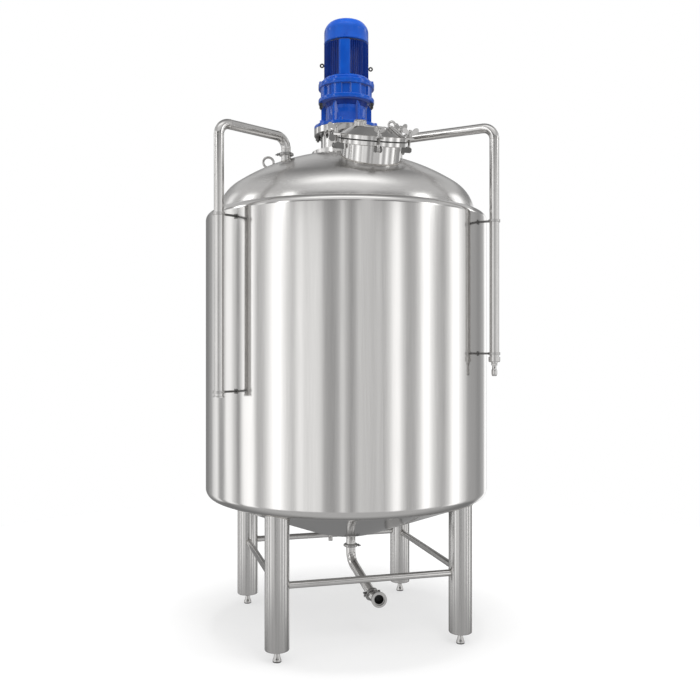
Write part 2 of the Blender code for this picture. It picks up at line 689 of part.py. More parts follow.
def build_lid_handle():
    curl_r, curl_w = HANDLE_CURL
    seat = GASKET_HALF + MANWAY_RIM_THICKNESS + 2 * GAP + HANDLE_ROD
    points = arc(curl_r, curl_w, HANDLE_CURL_RADIUS, math.radians(5), math.radians(200), 7)
    points += [(0.1040, 0.0828), (0.1180, 0.0826), (0.1320, 0.0756), (0.1500, 0.0636), (0.1700, 0.0502)]
    points += [(0.1840, 0.0410), (0.1930, 0.0352), (0.2010, seat)]
    route = [Vector((reach, height, 0.0)) for reach, height in points]
    bar = swept(route, [HANDLE_ROD] * len(route), 8, Vector((0.0, 0.0, 1.0)))
    add_object("lid_handle", bar, FITTING_STEEL, upright(manway_matrix(HANDLE_DEG)))


def build_wing_nut(place, degrees):
    """A wing nut on its fork; a nut that is backed off a little has a longer collar under it."""
    seat = FORK_TOP_W + GAP
    low = seat + NUT_RISES[place]
    boss = [(0.0, seat), (0.0200, seat), (0.0200, seat + 0.005), (0.0135, seat + 0.007), (0.0115, low + 0.034)]
    boss += [(0.0080, low + 0.036), (0.0080, low + 0.046), (0.0, low + 0.046)]
    turn = Matrix.Rotation(math.radians(NUT_TURNS[place]), 4, "Z")
    matrix = manway_matrix(degrees) @ Matrix.Translation((BOLT_CIRCLE, 0.0, 0.0)) @ turn
    nut = add_object(f"wing_nut_{place}", turned(boss, BOLT_SIDES), FITTING_STEEL, matrix)
    wing = [(-0.006, 0.014), (0.014, 0.016), (0.030, 0.026), (0.043, 0.029), (0.050, 0.038), (0.050, 0.050)]
    wing += [(0.043, 0.057), (0.032, 0.056), (0.022, 0.047), (0.012, 0.040), (-0.006, 0.038)]
    for side, sign in (("out", 1.0), ("in", -1.0)):
        outline = [(sign * reach, low + height) for reach, height in wing]
        plate = prism(outline, -0.005, 0.005)
        join(nut, add_object(f"wing_{place}_{side}", plate, FITTING_STEEL, upright(matrix), helper=True))


def build_swing_bolt(place, degrees):
    matrix = manway_matrix(degrees) @ Matrix.Translation((BOLT_CIRCLE, 0.0, BOLT_PIVOT_W))
    length = BOLT_TOP_W - BOLT_PIVOT_W
    bolt = add_object(f"swing_bolt_{place}", rod(BOLT_RADIUS, 0.004, length, BOLT_SIDES), FITTING_STEEL, matrix)
    eye = rod(BOLT_EYE_RADIUS, -BOLT_EYE_HALF, BOLT_EYE_HALF, SMALL_SIDES)
    join(bolt, add_object(f"bolt_eye_{place}", eye, FITTING_STEEL, upright(matrix), helper=True))
    hole = rod(BOLT_PIN_RADIUS + PIN_CLEARANCE, -0.02, 0.02, SMALL_SIDES)
    cut(bolt, add_object(f"bolt_hole_cutter_{place}", hole, None, upright(matrix), helper=True))


def hang_lid_on_hinge():
    """Everything that opens with the lid hangs on an empty on the hinge's axis."""
    hinge = bpy.data.objects.new("lid_hinge_axis", None)
    bpy.context.scene.collection.objects.link(hinge)
    place = manway_matrix(HINGE_DEG) @ Matrix.Translation((HINGE_REACH, 0.0, HINGE_W))
    hinge.matrix_world = place
    names = ["manway_lid", "sight_cap", "lid_handle"] + [f"wing_nut_{bolt}" for bolt in BOLT_PLACES]
    for name in names:
        piece = bpy.data.objects[name]
        piece.parent = hinge
        piece.matrix_parent_inverse = place.inverted()


# Side pipes, their nozzles, clamps and brackets
def build_clamp(name, matrix, inner, outer, half):
    outline = [(inner, -half), (outer, -half * 0.7), (outer, half * 0.7), (inner, half)]
    ring = add_object(name, turned(outline, PIPE_SIDES), FITTING_STEEL, matrix)
    lug = box((outer - 0.004, -0.008, -half * 0.6), (outer + 0.016, 0.008, half * 0.6))
    join(ring, add_object(f"{name}_lug", lug, FITTING_STEEL, matrix, helper=True))
    return ring


def build_nozzle(side, degrees, distance):
    joint = dome_height(distance) + NOZZLE_STAND
    place = around_tank(degrees) @ Matrix.Translation((distance, 0.0, 0.0))
    low = joint - 0.16
    bore = PIPE_RADIUS - 0.003
    outline = [(bore, low), (PIPE_RADIUS, low), (PIPE_RADIUS, joint - FERRULE_HEIGHT)]
    outline += [(FERRULE_RADIUS, joint - FERRULE_HEIGHT), (FERRULE_RADIUS, joint), (bore, joint)]
    nozzle = add_object(f"{side}_nozzle", turned(outline, PIPE_SIDES), TUBE_STEEL, place)
    cut(nozzle, TANK_ROOM)
    clamp_place = place @ Matrix.Translation((0.0, 0.0, joint)) @ around_tank(-2 * 360.0 / PIPE_SIDES)
    build_clamp(f"{side}_clamp", clamp_place, FERRULE_RADIUS + GAP, CLAMP_RADIUS, CLAMP_HALF)
    return joint + GAP


def pipe_route(start_z, pipe, end_z):
    _, distance, reach, run_z = pipe
    corners = [(distance, 0.0, start_z + FERRULE_HEIGHT), (distance, 0.0, run_z), (reach, 0.0, run_z), (reach, 0.0, end_z)]
    return rounded_route(corners, PIPE_BEND, 6)


def build_pipe(side, pipe, end_z, end_steps):
    """A side pipe; end_steps lists (height, radius) below the plain tube."""
    degrees, distance, reach, _ = pipe
    start = build_nozzle(side, degrees, distance)
    route = pipe_route(start, pipe, end_z)
    radii = [PIPE_RADIUS] * len(route)
    foot = Vector((distance, 0.0, start))
    route = [foot, route[0]] + route
    radii = [FERRULE_RADIUS, FERRULE_RADIUS] + radii
    for height, radius in end_steps:
        route.append(Vector((reach, 0.0, height)))
        radii.append(radius)
    bar = swept(route, radii, PIPE_SIDES, Vector((0.0, 1.0, 0.0)))
    return add_object(f"{side}_pipe", bar, TUBE_STEEL, around_tank(degrees))


def build_bracket(name, pipe, height):
    degrees, _, reach, _ = pipe
    outer = PIPE_RADIUS + 0.0065
    place = around_tank(degrees) @ Matrix.Translation((reach, 0.0, height))
    ring = add_object(name, rod(outer, -BRACKET_HALF, BRACKET_HALF, PIPE_SIDES), FITTING_STEEL, place)
    stay = box((CLADDING_RADIUS - 0.02 - reach, -0.006, -BRACKET_HALF + 0.002), (-0.020, 0.006, BRACKET_HALF - 0.002))
    join(ring, add_object(f"{name}_stay", stay, FITTING_STEEL, place, helper=True))
    hole = rod(PIPE_RADIUS + GAP, -0.05, 0.05, PIPE_SIDES)
    cut(ring, add_object(f"{name}_hole_cutter", hole, None, place, helper=True), TANK_HULL)


def build_side_pipes():
    end = LEFT_PIPE_END_Z
    ferrule = end + FERRULE_HEIGHT
    steps = [(ferrule, FERRULE_RADIUS), (end, FERRULE_RADIUS)]
    left = build_pipe("left", LEFT_PIPE, ferrule, steps)
    reach = LEFT_PIPE[2]
    place = around_tank(LEFT_PIPE[0]) @ Matrix.Translation((reach, 0.0, 0.0))
    bore = rod(PIPE_RADIUS - 0.003, end - 0.02, end + 0.07, PIPE_SIDES)
    cut(left, add_object("left_pipe_bore_cutter", bore, None, place, helper=True))
    low, high = RIGHT_COLLAR_Z
    steps = [(high, FERRULE_RADIUS), (low, FERRULE_RADIUS), (low, RIGHT_TIP_RADIUS), (RIGHT_PIPE_END_Z, RIGHT_TIP_RADIUS)]
    right = build_pipe("right", RIGHT_PIPE, high, steps)
    place = around_tank(RIGHT_PIPE[0]) @ Matrix.Translation((RIGHT_PIPE[2], 0.0, 0.0))
    bore = rod(RIGHT_TIP_RADIUS - 0.0035, RIGHT_PIPE_END_Z - 0.02, RIGHT_PIPE_END_Z + 0.05, SMALL_SIDES)
    cut(right, add_object("right_pipe_bore_cutter", bore, None, place, helper=True))
    for side, pipe, heights in (("left", LEFT_PIPE, LEFT_BRACKET_Z), ("right", RIGHT_PIPE, RIGHT_BRACKET_Z)):
        build_bracket(f"{side}_upper_bracket", pipe, heights[0])
        build_bracket(f"{side}_lower_bracket", pipe, heights[1])


# Lifting lugs
def build_lifting_lug(place, degrees):
    ring = turned(arc(LUG_RING, 0.0, LUG_ROD, 0.0, 2 * math.pi * 5 / 6, 5), 18)
    stand = around_tank(degrees) @ Matrix.Translation((LUG_DISTANCE, 0.0, LUG_CENTRE_Z))
    lug = add_object(f"lifting_lug_{place}", ring, FITTING_STEEL, upright(stand))
    cut(lug, TANK_HULL)


# Outlet
def build_outlet():
    x, y = OUTLET_PLACE
    joint = OUTLET_JOINT_Z
    top = 0.655
    ferrule = joint + FERRULE_HEIGHT
    outline = [(OUTLET_BORE, top), (OUTLET_BORE, joint), (OUTLET_FERRULE, joint), (OUTLET_FERRULE, ferrule)]
    outline += [(OUTLET_RADIUS, ferrule), (OUTLET_RADIUS, top)]
    add_object("outlet_nozzle", turned(outline, PIPE_SIDES), TUBE_STEEL, outlet_matrix(0.0))
    clamp_place = outlet_matrix(joint) @ around_tank(4 * 360.0 / PIPE_SIDES)
    build_clamp("outlet_clamp", clamp_place, OUTLET_FERRULE + GAP, OUTLET_CLAMP_RADIUS, CLAMP_HALF)
    elbow_end = Vector(OUTLET_ELBOW_END)
    corner = Vector((x, y, OUTLET_CORNER_Z))
    heading = (elbow_end - corner).normalized()
    pipe_top = joint - GAP
    straight = rounded_route([(x, y, pipe_top - FERRULE_HEIGHT), corner, elbow_end - heading * FERRULE_HEIGHT], OUTLET_BEND, 6)
    route = [Vector((x, y, pipe_top)), straight[0]] + straight + [straight[-1], elbow_end]
    radii = [OUTLET_FERRULE] * 2 + [OUTLET_RADIUS] * len(straight) + [OUTLET_FERRULE] * 2
    beside = heading.cross(Vector((0.0, 0.0, 1.0))).normalized()
    add_object("outlet_pipe", swept(route, radii, PIPE_SIDES, beside), TUBE_STEEL)
    turn = facing(heading, beside)
    clamp_place = Matrix.Translation(elbow_end) @ turn
    build_clamp("outlet_end_clamp", clamp_place, OUTLET_FERRULE + GAP, OUTLET_CLAMP_RADIUS, CLAMP_HALF)
    build_outlet_end(elbow_end + heading * GAP, heading, beside)


def build_outlet_end(start, heading, beside):
    face = Vector(OUTLET_FACE)
    out = Vector((*on_circle(1.0, OUTLET_FACE_DEG), 0.0))
    first = start + heading * FERRULE_HEIGHT
    last = face - out * OUTLET_RING_LENGTH
    pull = (last - first).length / 2.5
    guides = (first, first + heading * pull, last - out * pull, last)
    bend = []
    for step in range(7):
        t = step / 6
        weights = ((1 - t) ** 3, 3 * t * (1 - t) ** 2, 3 * t * t * (1 - t), t ** 3)
        bend.append(sum((weight * guide for weight, guide in zip(weights, guides)), Vector()))
    route = [start, first] + bend + [last, face]
    radii = [OUTLET_FERRULE] * 2 + [OUTLET_BODY_RADIUS] * len(bend) + [OUTLET_RING_RADIUS] * 2
    end = add_object("outlet_end", swept(route, radii, PIPE_SIDES, beside), FITTING_STEEL)
    bore = rod(OUTLET_MOUTH_RADIUS - 0.006, -0.055, 0.02, PIPE_SIDES)
    mouth = rod(OUTLET_MOUTH_RADIUS, -0.010, 0.02, PIPE_SIDES)
    place = Matrix.Translation(face) @ facing(out, Vector((0.0, 0.0, 1.0)))
    cut(end, add_object("outlet_bore_cutter", bore, None, place, helper=True))
    cut(end, add_object("outlet_mouth_cutter", mouth, None, place, helper=True))


def build_drain_stub():
    place = Matrix.Translation((*STUB_PLACE, 0.0))
    stub = add_object("drain_stub", rod(STUB_RADIUS, STUB_BOTTOM_Z, 0.62, SMALL_SIDES), TUBE_STEEL, place)
    cut(stub, TANK_HULL)


build_cladding()
build_vessel_wall()
build_bottom_head()
build_top_head()
for leg_place, leg_degrees in LEG_PLACES.items():
    build_leg(leg_place, leg_degrees)
for brace_place, (first_leg, second_leg, brace_height) in BRACES.items():
    build_brace(f"brace_{brace_place}", first_leg, second_leg, brace_height)
build_drive_neck()
build_gearbox()
build_motor()
build_manway_neck()
build_gasket()
LID_CUTTER = build_manway_lid()
build_sight_cap(LID_CUTTER)
build_lid_handle()
for bolt_place, bolt_degrees in BOLT_PLACES.items():
    build_wing_nut(bolt_place, bolt_degrees)
    build_swing_bolt(bolt_place, bolt_degrees)
hang_lid_on_hinge()
build_side_pipes()
for lug_place, lug_degrees in LUG_PLACES.items():
    build_lifting_lug(lug_place, lug_degrees)
build_outlet()
build_drain_stub()
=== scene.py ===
# Looks of the vacuum mixing tank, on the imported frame, in metres, +Z up.
# -Y is the front, where the manway is. Every shape repeats the sizes of the part's source.

from math import atan, atan2, cos, hypot, pi, radians, sin, sqrt, tan

import bmesh
import bpy
from mathutils import Matrix, Vector


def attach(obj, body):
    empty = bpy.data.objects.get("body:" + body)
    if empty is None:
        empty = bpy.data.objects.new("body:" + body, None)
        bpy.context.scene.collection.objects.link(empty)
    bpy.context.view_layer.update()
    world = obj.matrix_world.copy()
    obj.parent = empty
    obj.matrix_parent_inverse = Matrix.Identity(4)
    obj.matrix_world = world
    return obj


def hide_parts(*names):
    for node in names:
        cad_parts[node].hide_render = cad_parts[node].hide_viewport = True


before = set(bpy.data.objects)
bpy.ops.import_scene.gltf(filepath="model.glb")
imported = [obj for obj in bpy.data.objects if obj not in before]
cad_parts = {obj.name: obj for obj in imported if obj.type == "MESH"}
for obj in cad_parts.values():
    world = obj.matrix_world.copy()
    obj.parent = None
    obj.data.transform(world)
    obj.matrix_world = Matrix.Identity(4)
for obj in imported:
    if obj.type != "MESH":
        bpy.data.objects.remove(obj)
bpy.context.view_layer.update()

GAP = 0.0003

# Insulated wall and vessel
CLADDING_RADIUS = 0.9
VESSEL_RADIUS = 0.8255
VESSEL_WALL = 0.006
VESSEL_BOTTOM_Z = 0.93
SHOULDER_Z = 2.6235
SHOULDER_BEND = 0.045

# Bottom and top head
KNUCKLE_Z = 0.894
KNUCKLE_RADIUS = 0.0585
CONE_ANGLE = atan(0.37)
TIP_RADIUS = 0.715
BOTTOM_THICKNESS = 0.095
CONE_TOP_R = CLADDING_RADIUS - KNUCKLE_RADIUS + KNUCKLE_RADIUS * sin(CONE_ANGLE)
CONE_TOP_Z = KNUCKLE_Z - KNUCKLE_RADIUS * cos(CONE_ANGLE)
TIP_EDGE_R = TIP_RADIUS * sin(CONE_ANGLE)
TIP_CENTRE_Z = CONE_TOP_Z - tan(CONE_ANGLE) * (CONE_TOP_R - TIP_EDGE_R) + TIP_RADIUS * cos(CONE_ANGLE)
DOME_Z = 2.6105
DOME_KNUCKLE = 0.234
DOME_CROWN = 1.3
DOME_KNUCKLE_R = VESSEL_RADIUS - DOME_KNUCKLE
DOME_CENTRE_Z = DOME_Z - sqrt((DOME_CROWN - DOME_KNUCKLE) ** 2 - DOME_KNUCKLE_R ** 2)
DOME_MEET = atan2(DOME_Z - DOME_CENTRE_Z, DOME_KNUCKLE_R)

# Legs, feet and braces
LEG_CIRCLE = 0.7915
LEG_RADIUS = 0.0705
LEG_BOTTOM_Z = 0.068
LEG_EDGE = 0.006
LEG_SIDES = 96
LEG_PLACES = {"front_left": 225, "front_right": 315, "back_right": 45, "back_left": 135}
BRACES = {
    "front": (225, 315, 0.429),
    "right": (315, 45, 0.435),
    "back": (45, 135, 0.441),
    "left": (135, 225, 0.435),
}
BRACE_RADIUS = 0.02

# Drive on the tank's axis
FLANGE_BOLTS = (8, 18.7, 0.189)  # count, first direction in degrees, circle
PAD_RADIUS = 0.224
PAD_TOP_Z = 3.0375
NECK_RADIUS = 0.164
NECK_BORE_RADIUS = 0.12
FLANGE_RADIUS = 0.208
FLANGE_Z = (3.148, 3.187)
GEARBOX_FOOT_TOP_Z = 3.208
GEARBOX_TOP_Z = 3.357
GEARBOX_RIB_RADIUS = 0.163
RING_LIP_RADIUS = 0.181
RING_DRUM_RADIUS = 0.168
RECESS_DEPTH = 0.013
RING_LIP_BOTTOM_Z = 3.386
RING_LIP_TOP_Z = 3.451
RING_TOP_Z = 3.483
RING_BOLT_CIRCLE = 0.1685
RING_BOLTS = (152.7, 176.7, 332.7, 356.7)
MOTOR_BASE_RADIUS = 0.156
MOTOR_FINS_Z = (3.516, 3.744)
MOTOR_FIN_RADIUS = 0.144
COWL_SHADOW = 0.007
MOTOR_ROOT_RADIUS = 0.131
PANEL_DEG = 250
COWL_RADIUS = 0.1445
COWL_TOP_Z = 3.887
BOX_FACE_Y = 0.146
TERMINAL_BOX = (0.11, 0.07, 0.13)
TERMINAL_BOX_Z = 3.625

# Manway
MANWAY_Y = -0.572
MANWAY_Z = 2.992
MANWAY_TILT = radians(16.5)
MANWAY_NECK_RADIUS = 0.1735
MANWAY_WALL = 0.006
RIM_RADIUS = 0.2015
RIM_THICKNESS = 0.023
GASKET_HALF = 0.003
GASKET_RADIUS = 0.197
LID_CONE_RADII = (0.19, 0.118)
LID_CONE_TOP = 0.0745
LID_CROWN = (0.06, 0.0785)
LID_TOP = 0.08
LID_SKIN = 0.008
LID_RECESS_RADIUS = 0.165
SIGHT_PLACE = (-0.065, 0.052)
SIGHT_RADIUS = 0.0385
SIGHT_TOP = 0.11
BOLT_PLACES = {"right": 354, "back": 26, "left": 184, "front": 263.5}
BOLT_CIRCLE = 0.222
BOLT_RADIUS = 0.008
BOLT_PIVOT_W = -0.045
BOLT_TOP_W = 0.0203
FORK_INSIDE = 0.0135
FORK_THICKNESS = 0.009
FORK_REACH = 0.246
FORK_TOP_W = 0.0256
NUT_TURNS = {"right": 10, "back": 90, "left": -12, "front": 23.5}
NUT_RISES = {"right": 0, "back": 0.018, "left": 0, "front": 0}
HINGE_DEG = 150
HINGE_REACH = 0.24
HINGE_W = 0.015
HANDLE_DEG = 318
HANDLE_ROD = 0.0065

# Pipes: (direction in degrees, nozzle distance, down-pipe distance, height of the run)
PIPE_RADIUS = 0.0285
PIPE_BEND = 0.072
FERRULE_RADIUS = 0.0345
FERRULE_HEIGHT = 0.007
CLAMP_RADIUS = 0.043
CLAMP_HALF = 0.009
LEFT_PIPE = (210.2, 0.52, 1.0205, 3.05)
RIGHT_PIPE = (315.7, 0.37, 1.001, 3.085)
NOZZLE_STAND = 0.033
LEFT_PIPE_END_Z = 1.501
RIGHT_PIPE_END_Z = 1.612
RIGHT_COLLAR_Z = (1.695, 1.7247)
RIGHT_TIP_RADIUS = 0.017
BRACKETS = {"left_upper": (LEFT_PIPE, 2.533), "left_lower": (LEFT_PIPE, 1.531),
            "right_upper": (RIGHT_PIPE, 2.529), "right_lower": (RIGHT_PIPE, 1.745)}
BRACKET_HALF = 0.008
LUG_PLACES = {"left": 180, "right": 0}
LUG_DISTANCE = 0.511
LUG_CENTRE_Z = 2.951
LUG_RING = 0.033
LUG_ROD = 0.0075

# Outlet
OUTLET_PLACE = (0.028, -0.008)
OUTLET_RADIUS = 0.03
OUTLET_BORE = 0.0265
OUTLET_FERRULE = 0.036
OUTLET_CLAMP_RADIUS = 0.044
OUTLET_JOINT_Z = 0.4975
OUTLET_CORNER_Z = 0.404
OUTLET_BEND = 0.09
OUTLET_ELBOW_END = (0.0737, -0.33, 0.267)
OUTLET_FACE = (0.0891, -0.4285, 0.258)
OUTLET_FACE_DEG = 262
OUTLET_BODY_RADIUS = 0.0335
OUTLET_RING_RADIUS = 0.0475
OUTLET_MOUTH_RADIUS = 0.035
STUB_PLACE = (-0.099, 0.027)
STUB_RADIUS = 0.0135
STUB_BOTTOM_Z = 0.525

# The camera stands to the left of the front and looks at the tank's axis
CAMERA_TURN = radians(15.26)
CAMERA_DISTANCE = 5.383
CAMERA_Z = 1.792

# Sides of round pieces
TANK_SIDES = 288
DRIVE_SIDES = 144
PIPE_SIDES = 64
SMALL_SIDES = 40

# Radiance of the brightest soft box
STUDIO_PEAK = 4.2

LAID_FORWARD = Matrix.Rotation(pi / 2, 4, "X")
LAID_OUT = Matrix.Rotation(pi / 2, 4, "Y")

scene = bpy.context.scene


# ---------------------------------------------------------------- shapes

def on_circle(distance, degrees):
    angle = radians(degrees)
    return distance * cos(angle), distance * sin(angle)


def circle(radius, count):
    """Points (x, y) at equal steps round the origin."""
    turns = [2 * pi * step / count for step in range(count)]
    return [(radius * cos(turn), radius * sin(turn)) for turn in turns]


def around_tank(degrees):
    return Matrix.Rotation(radians(degrees), 4, "Z")


def move(x, y, z):
    return Matrix.Translation((x, y, z))


def upright(matrix):
    """Turns a plan outline so that its Y runs up the local Z, and its thickness along local -Y."""
    return matrix @ LAID_FORWARD


def facing(direction, beside):
    """Turns Z to the direction, and X to the part of beside that is square to it."""
    across = (beside - direction * beside.dot(direction)).normalized()
    return Matrix((across, direction.cross(across), direction)).transposed().to_4x4()


def manway_matrix(degrees=0):
    return move(0, MANWAY_Y, MANWAY_Z) @ Matrix.Rotation(MANWAY_TILT, 4, "X") @ around_tank(degrees)


def arc(centre_r, centre_z, radius, first, last, steps):
    """Points (r, z) along an arc, angles in radians from +r towards +z."""
    angles = [first + (last - first) * step / steps for step in range(steps + 1)]
    return [(centre_r + radius * cos(angle), centre_z + radius * sin(angle)) for angle in angles]


def join_rings(built, rings):
    """Faces from each ring of vertices to the next; a ring of one vertex is a tip."""
    for here, there in zip(rings, rings[1:]):
        sides = max(len(here), len(there))
        for side in range(sides if sides > 1 else 0):
            after = (side + 1) % sides
            corners = ((here, side), (here, after), (there, after), (there, side))
            built.faces.new(list(dict.fromkeys(ring[place % len(ring)] for ring, place in corners)))


def turned(outline, sides):
    """A closed outline of (r, z) points turned round Z; a point with r = 0 becomes one vertex."""
    built = bmesh.new()
    rings = []
    for radius, height in outline:
        places = circle(radius, sides) if radius > 1e-7 else [(0, 0)]
        rings.append([built.verts.new((x, y, height)) for x, y in places])
    join_rings(built, rings + rings[:1])
    return built


def level_ring(radius, count, height):
    """A level circle of points round Z."""
    return [Vector((x, y, height)) for x, y in circle(radius, count)]


def rod(radius, low, high, sides):
    return turned([(0, low), (radius, low), (radius, high), (0, high)], sides)


def raised(base, points):
    """Points (r, z) whose heights count from a base."""
    return [(radius, base + height) for radius, height in points]


def oblong(near, far, half):
    """Outline of a bar along X."""
    return [(near, -half), (far, -half), (far, half), (near, half)]


def mirrored(outline):
    """An outline of (x, y) points, and its mirror image across the X axis."""
    return outline + [(x, -y) for x, y in reversed(outline)]


def prism(outline, low, high):
    """An outline of (x, y) points raised along Z from low to high."""
    built = bmesh.new()
    bottom, top = [[built.verts.new((x, y, height)) for x, y in outline] for height in (low, high)]
    built.faces.new(list(reversed(bottom)))
    built.faces.new(top)
    join_rings(built, [bottom, top])
    return built


def plate(outline, low, high, matrix):
    """A plate standing on edge: outline in (reach, height), thickness low to high."""
    return prism(outline, low, high), upright(matrix)


def wings(outline, half, base, matrix):
    """Two flat wings, one the mirror image of the other, as parts of a nut."""
    return [plate(smoothed([(sign * reach, base + height) for reach, height in outline]), -half, half, matrix)
            for sign in (1, -1)]


def block(low, high):
    outline = [(low[0], low[1]), (high[0], low[1]), (high[0], high[1]), (low[0], high[1])]
    return prism(outline, low[2], high[2])


def hexagon(width, low, high):
    return prism([on_circle(width / sqrt(3), 60 * side) for side in range(6)], low, high)


def quarters(points, following):
    """The points at a quarter and at three quarters of the way from each point to the one that follows it."""
    finer = []
    for (x, y), (u, v) in zip(points, following):
        finer += [(0.75 * x + 0.25 * u, 0.75 * y + 0.25 * v), (0.25 * x + 0.75 * u, 0.25 * y + 0.75 * v)]
    return finer


def smoothed(outline):
    """A closed outline with its corners cut twice, until it is round."""
    for _ in range(2):
        outline = quarters(outline, outline[1:] + outline[:1])
    return outline


def rounded_route(corners, bend, steps):
    """A route through the corners, with each inner corner rounded to the bend radius."""
    route = [Vector(corners[0])]
    for before, corner, after in zip(corners, corners[1:], corners[2:]):
        corner = Vector(corner)
        back = (Vector(before) - corner).normalized()
        ahead = (Vector(after) - corner).normalized()
        half = back.angle(ahead) / 2
        centre = corner + (back + ahead).normalized() * (bend / sin(half))
        start = corner + back * (bend / tan(half)) - centre
        axis = ahead.cross(back).normalized()
        turn = pi - 2 * half
        route += [centre + Matrix.Rotation(turn * step / steps, 3, axis) @ start for step in range(steps + 1)]
    route.append(Vector(corners[-1]))
    return route


def swept(route, radii, sides, across=None, closed=False):
    """A round bar along a route, with a radius at each point; repeated points make a step."""
    built = bmesh.new()
    count = len(route)
    headings = []
    for place, point in enumerate(route):
        if closed:
            headings.append((route[(place + 1) % count] - route[place - 1]).normalized())
            continue
        before = next((p for p in reversed(route[:place]) if (p - point).length > 1e-7), None)
        after = next((p for p in route[place + 1:] if (p - point).length > 1e-7), None)
        back = (point - before).normalized() if before is not None else Vector()
        ahead = (after - point).normalized() if after is not None else Vector()
        headings.append((back + ahead).normalized())
    if across is None:
        across = headings[0].orthogonal()
    rings = []
    for point, radius, heading in zip(route, radii, headings):
        across = (across - heading * across.dot(heading)).normalized()
        beside = heading.cross(across)
        turns = circle(1, sides)
        rings.append([built.verts.new(point + radius * (x * across + y * beside)) for x, y in turns])
    join_rings(built, rings + (rings[:1] if closed else []))
    if not closed:
        built.faces.new(list(reversed(rings[0])))
        built.faces.new(rings[-1])
    return built


def together(*parts):
    """Several bmeshes, each alone or with its matrix, as one."""
    whole = bmesh.new()
    for part in parts:
        built, matrix = part if isinstance(part, tuple) else (part, None)
        if matrix is not None:
            built.transform(matrix)
        mesh = bpy.data.meshes.new("part_of_a_piece")
        bmesh.ops.recalc_face_normals(built, faces=built.faces)
        built.to_mesh(mesh)
        built.free()
        whole.from_mesh(mesh)
        bpy.data.meshes.remove(mesh)
    return whole


def shape(name, built, matrix=None, sharp=35, soft=0):
    """An object from a bmesh, placed by its mesh, with smooth sides and softened edges."""
    if matrix is not None:
        built.transform(matrix)
    bmesh.ops.recalc_face_normals(built, faces=built.faces)
    mesh = bpy.data.meshes.new(name)
    built.to_mesh(mesh)
    built.free()
    mesh.shade_smooth()
    mesh.set_sharp_from_angle(angle=radians(sharp))
    made = bpy.data.objects.new(name, mesh)
    scene.collection.objects.link(made)
    if soft:
        bevel = made.modifiers.new("soft_edges", "BEVEL")
        bevel.width = soft
        bevel.segments = 2
        bevel.limit_method = "ANGLE"
        bevel.angle_limit = radians(sharp)
        bevel.use_clamp_overlap = True
        bevel.harden_normals = True
    return made


def cut(target, *cutters):
    """Cuts the cutters out of the target, and keeps only the result."""
    for cutter in cutters:
        step = target.modifiers.new("cut", "BOOLEAN")
        step.operation = "DIFFERENCE"
        step.solver = "EXACT"
        step.object = cutter
    graph = bpy.context.evaluated_depsgraph_get()
    mesh = bpy.data.meshes.new_from_object(target.evaluated_get(graph), depsgraph=graph)
    target.modifiers.clear()
    target.data = mesh
    mesh.shade_smooth()
    mesh.set_sharp_from_angle(angle=radians(35))
    for cutter in cutters:
        bpy.data.objects.remove(cutter, do_unlink=True)


def finished(piece, finish, body="tank", stands_for=()):
    """Gives a piece its material, and hangs it on its body."""
    surface, slot = FINISHES[finish]
    piece.data.materials.clear()
    piece.data.materials.append(surface)
    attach(piece, body)
    piece.visible_glossy = finish not in ("paint", "shaded_paint")
    if stands_for:
        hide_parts(*stands_for)
    return piece


def piece(name, finish, built, matrix=None, body="tank", stands_for=(), **edges):
    """A finished piece from a bmesh, on its body."""
    return finished(shape(name, built, matrix, **edges), finish, body, stands_for)


def skin(node_name, finish, built, matrix=None, body="tank", **edges):
    """The visible shape of one node of the part."""
    return piece(f"{node_name}_skin", finish, built, matrix, body, [node_name], **edges)


def bead(name, route, radius, body="tank"):
    """A weld along a closed route, with the ripples of its making."""
    count = len(route)
    ripples = max(6, count // 3)
    radii = [radius * (1 + 0.14 * sin(2 * pi * ripples * place / count)) for place in range(count)]
    return piece(name, "weld", swept(route, radii, 8, closed=True), body=body)


# ---------------------------------------------------------------- surfaces of the tank

def tip_curve(offset, steps):
    down = -pi / 2
    tip = arc(0, TIP_CENTRE_Z, TIP_RADIUS + offset, down, down + CONE_ANGLE, steps)
    return [(0, tip[0][1])] + tip[1:]


def bottom_height(distance, offset=0):
    """Height of the underside, round tip or cone, at a distance from the axis."""
    if distance < TIP_EDGE_R:
        return TIP_CENTRE_Z - sqrt((TIP_RADIUS + offset) ** 2 - distance ** 2)
    edge_z = TIP_CENTRE_Z - TIP_RADIUS * cos(CONE_ANGLE)
    return edge_z + tan(CONE_ANGLE) * (distance - TIP_EDGE_R) - offset / cos(CONE_ANGLE)


def dome_curve(offset, knuckle_steps, crown_steps):
    """Top head from its rim up to the axis, moved outwards by the offset."""
    knuckle = arc(DOME_KNUCKLE_R, DOME_Z, DOME_KNUCKLE + offset, 0, DOME_MEET, knuckle_steps)
    crown = arc(0, DOME_CENTRE_Z, DOME_CROWN + offset, DOME_MEET, pi / 2, crown_steps)[1:]
    return knuckle + crown[:-1] + [(0, crown[-1][1])]


def dome_height(distance, offset=0):
    crown = DOME_CROWN + offset
    if distance < crown * cos(DOME_MEET):
        return DOME_CENTRE_Z + sqrt(crown ** 2 - distance ** 2)
    return DOME_Z + sqrt(max(0, (DOME_KNUCKLE + offset) ** 2 - (distance - DOME_KNUCKLE_R) ** 2))


def manway_drop(x, y, offset=0):
    """Height in the manway's frame at which a line along its axis meets the top head."""
    matrix = manway_matrix()
    low, high = -0.45, 0
    for _ in range(30):
        middle = (low + high) / 2
        point = matrix @ Vector((x, y, middle))
        if point.z > dome_height(hypot(point.x, point.y), offset):
            high = middle
        else:
            low = middle
    return low


def outlet_matrix(height):
    x, y = OUTLET_PLACE
    way = atan2(OUTLET_ELBOW_END[1] - y, OUTLET_ELBOW_END[0] - x)
    return move(x, y, height) @ Matrix.Rotation(way, 4, "Z")


# ---------------------------------------------------------------- materials

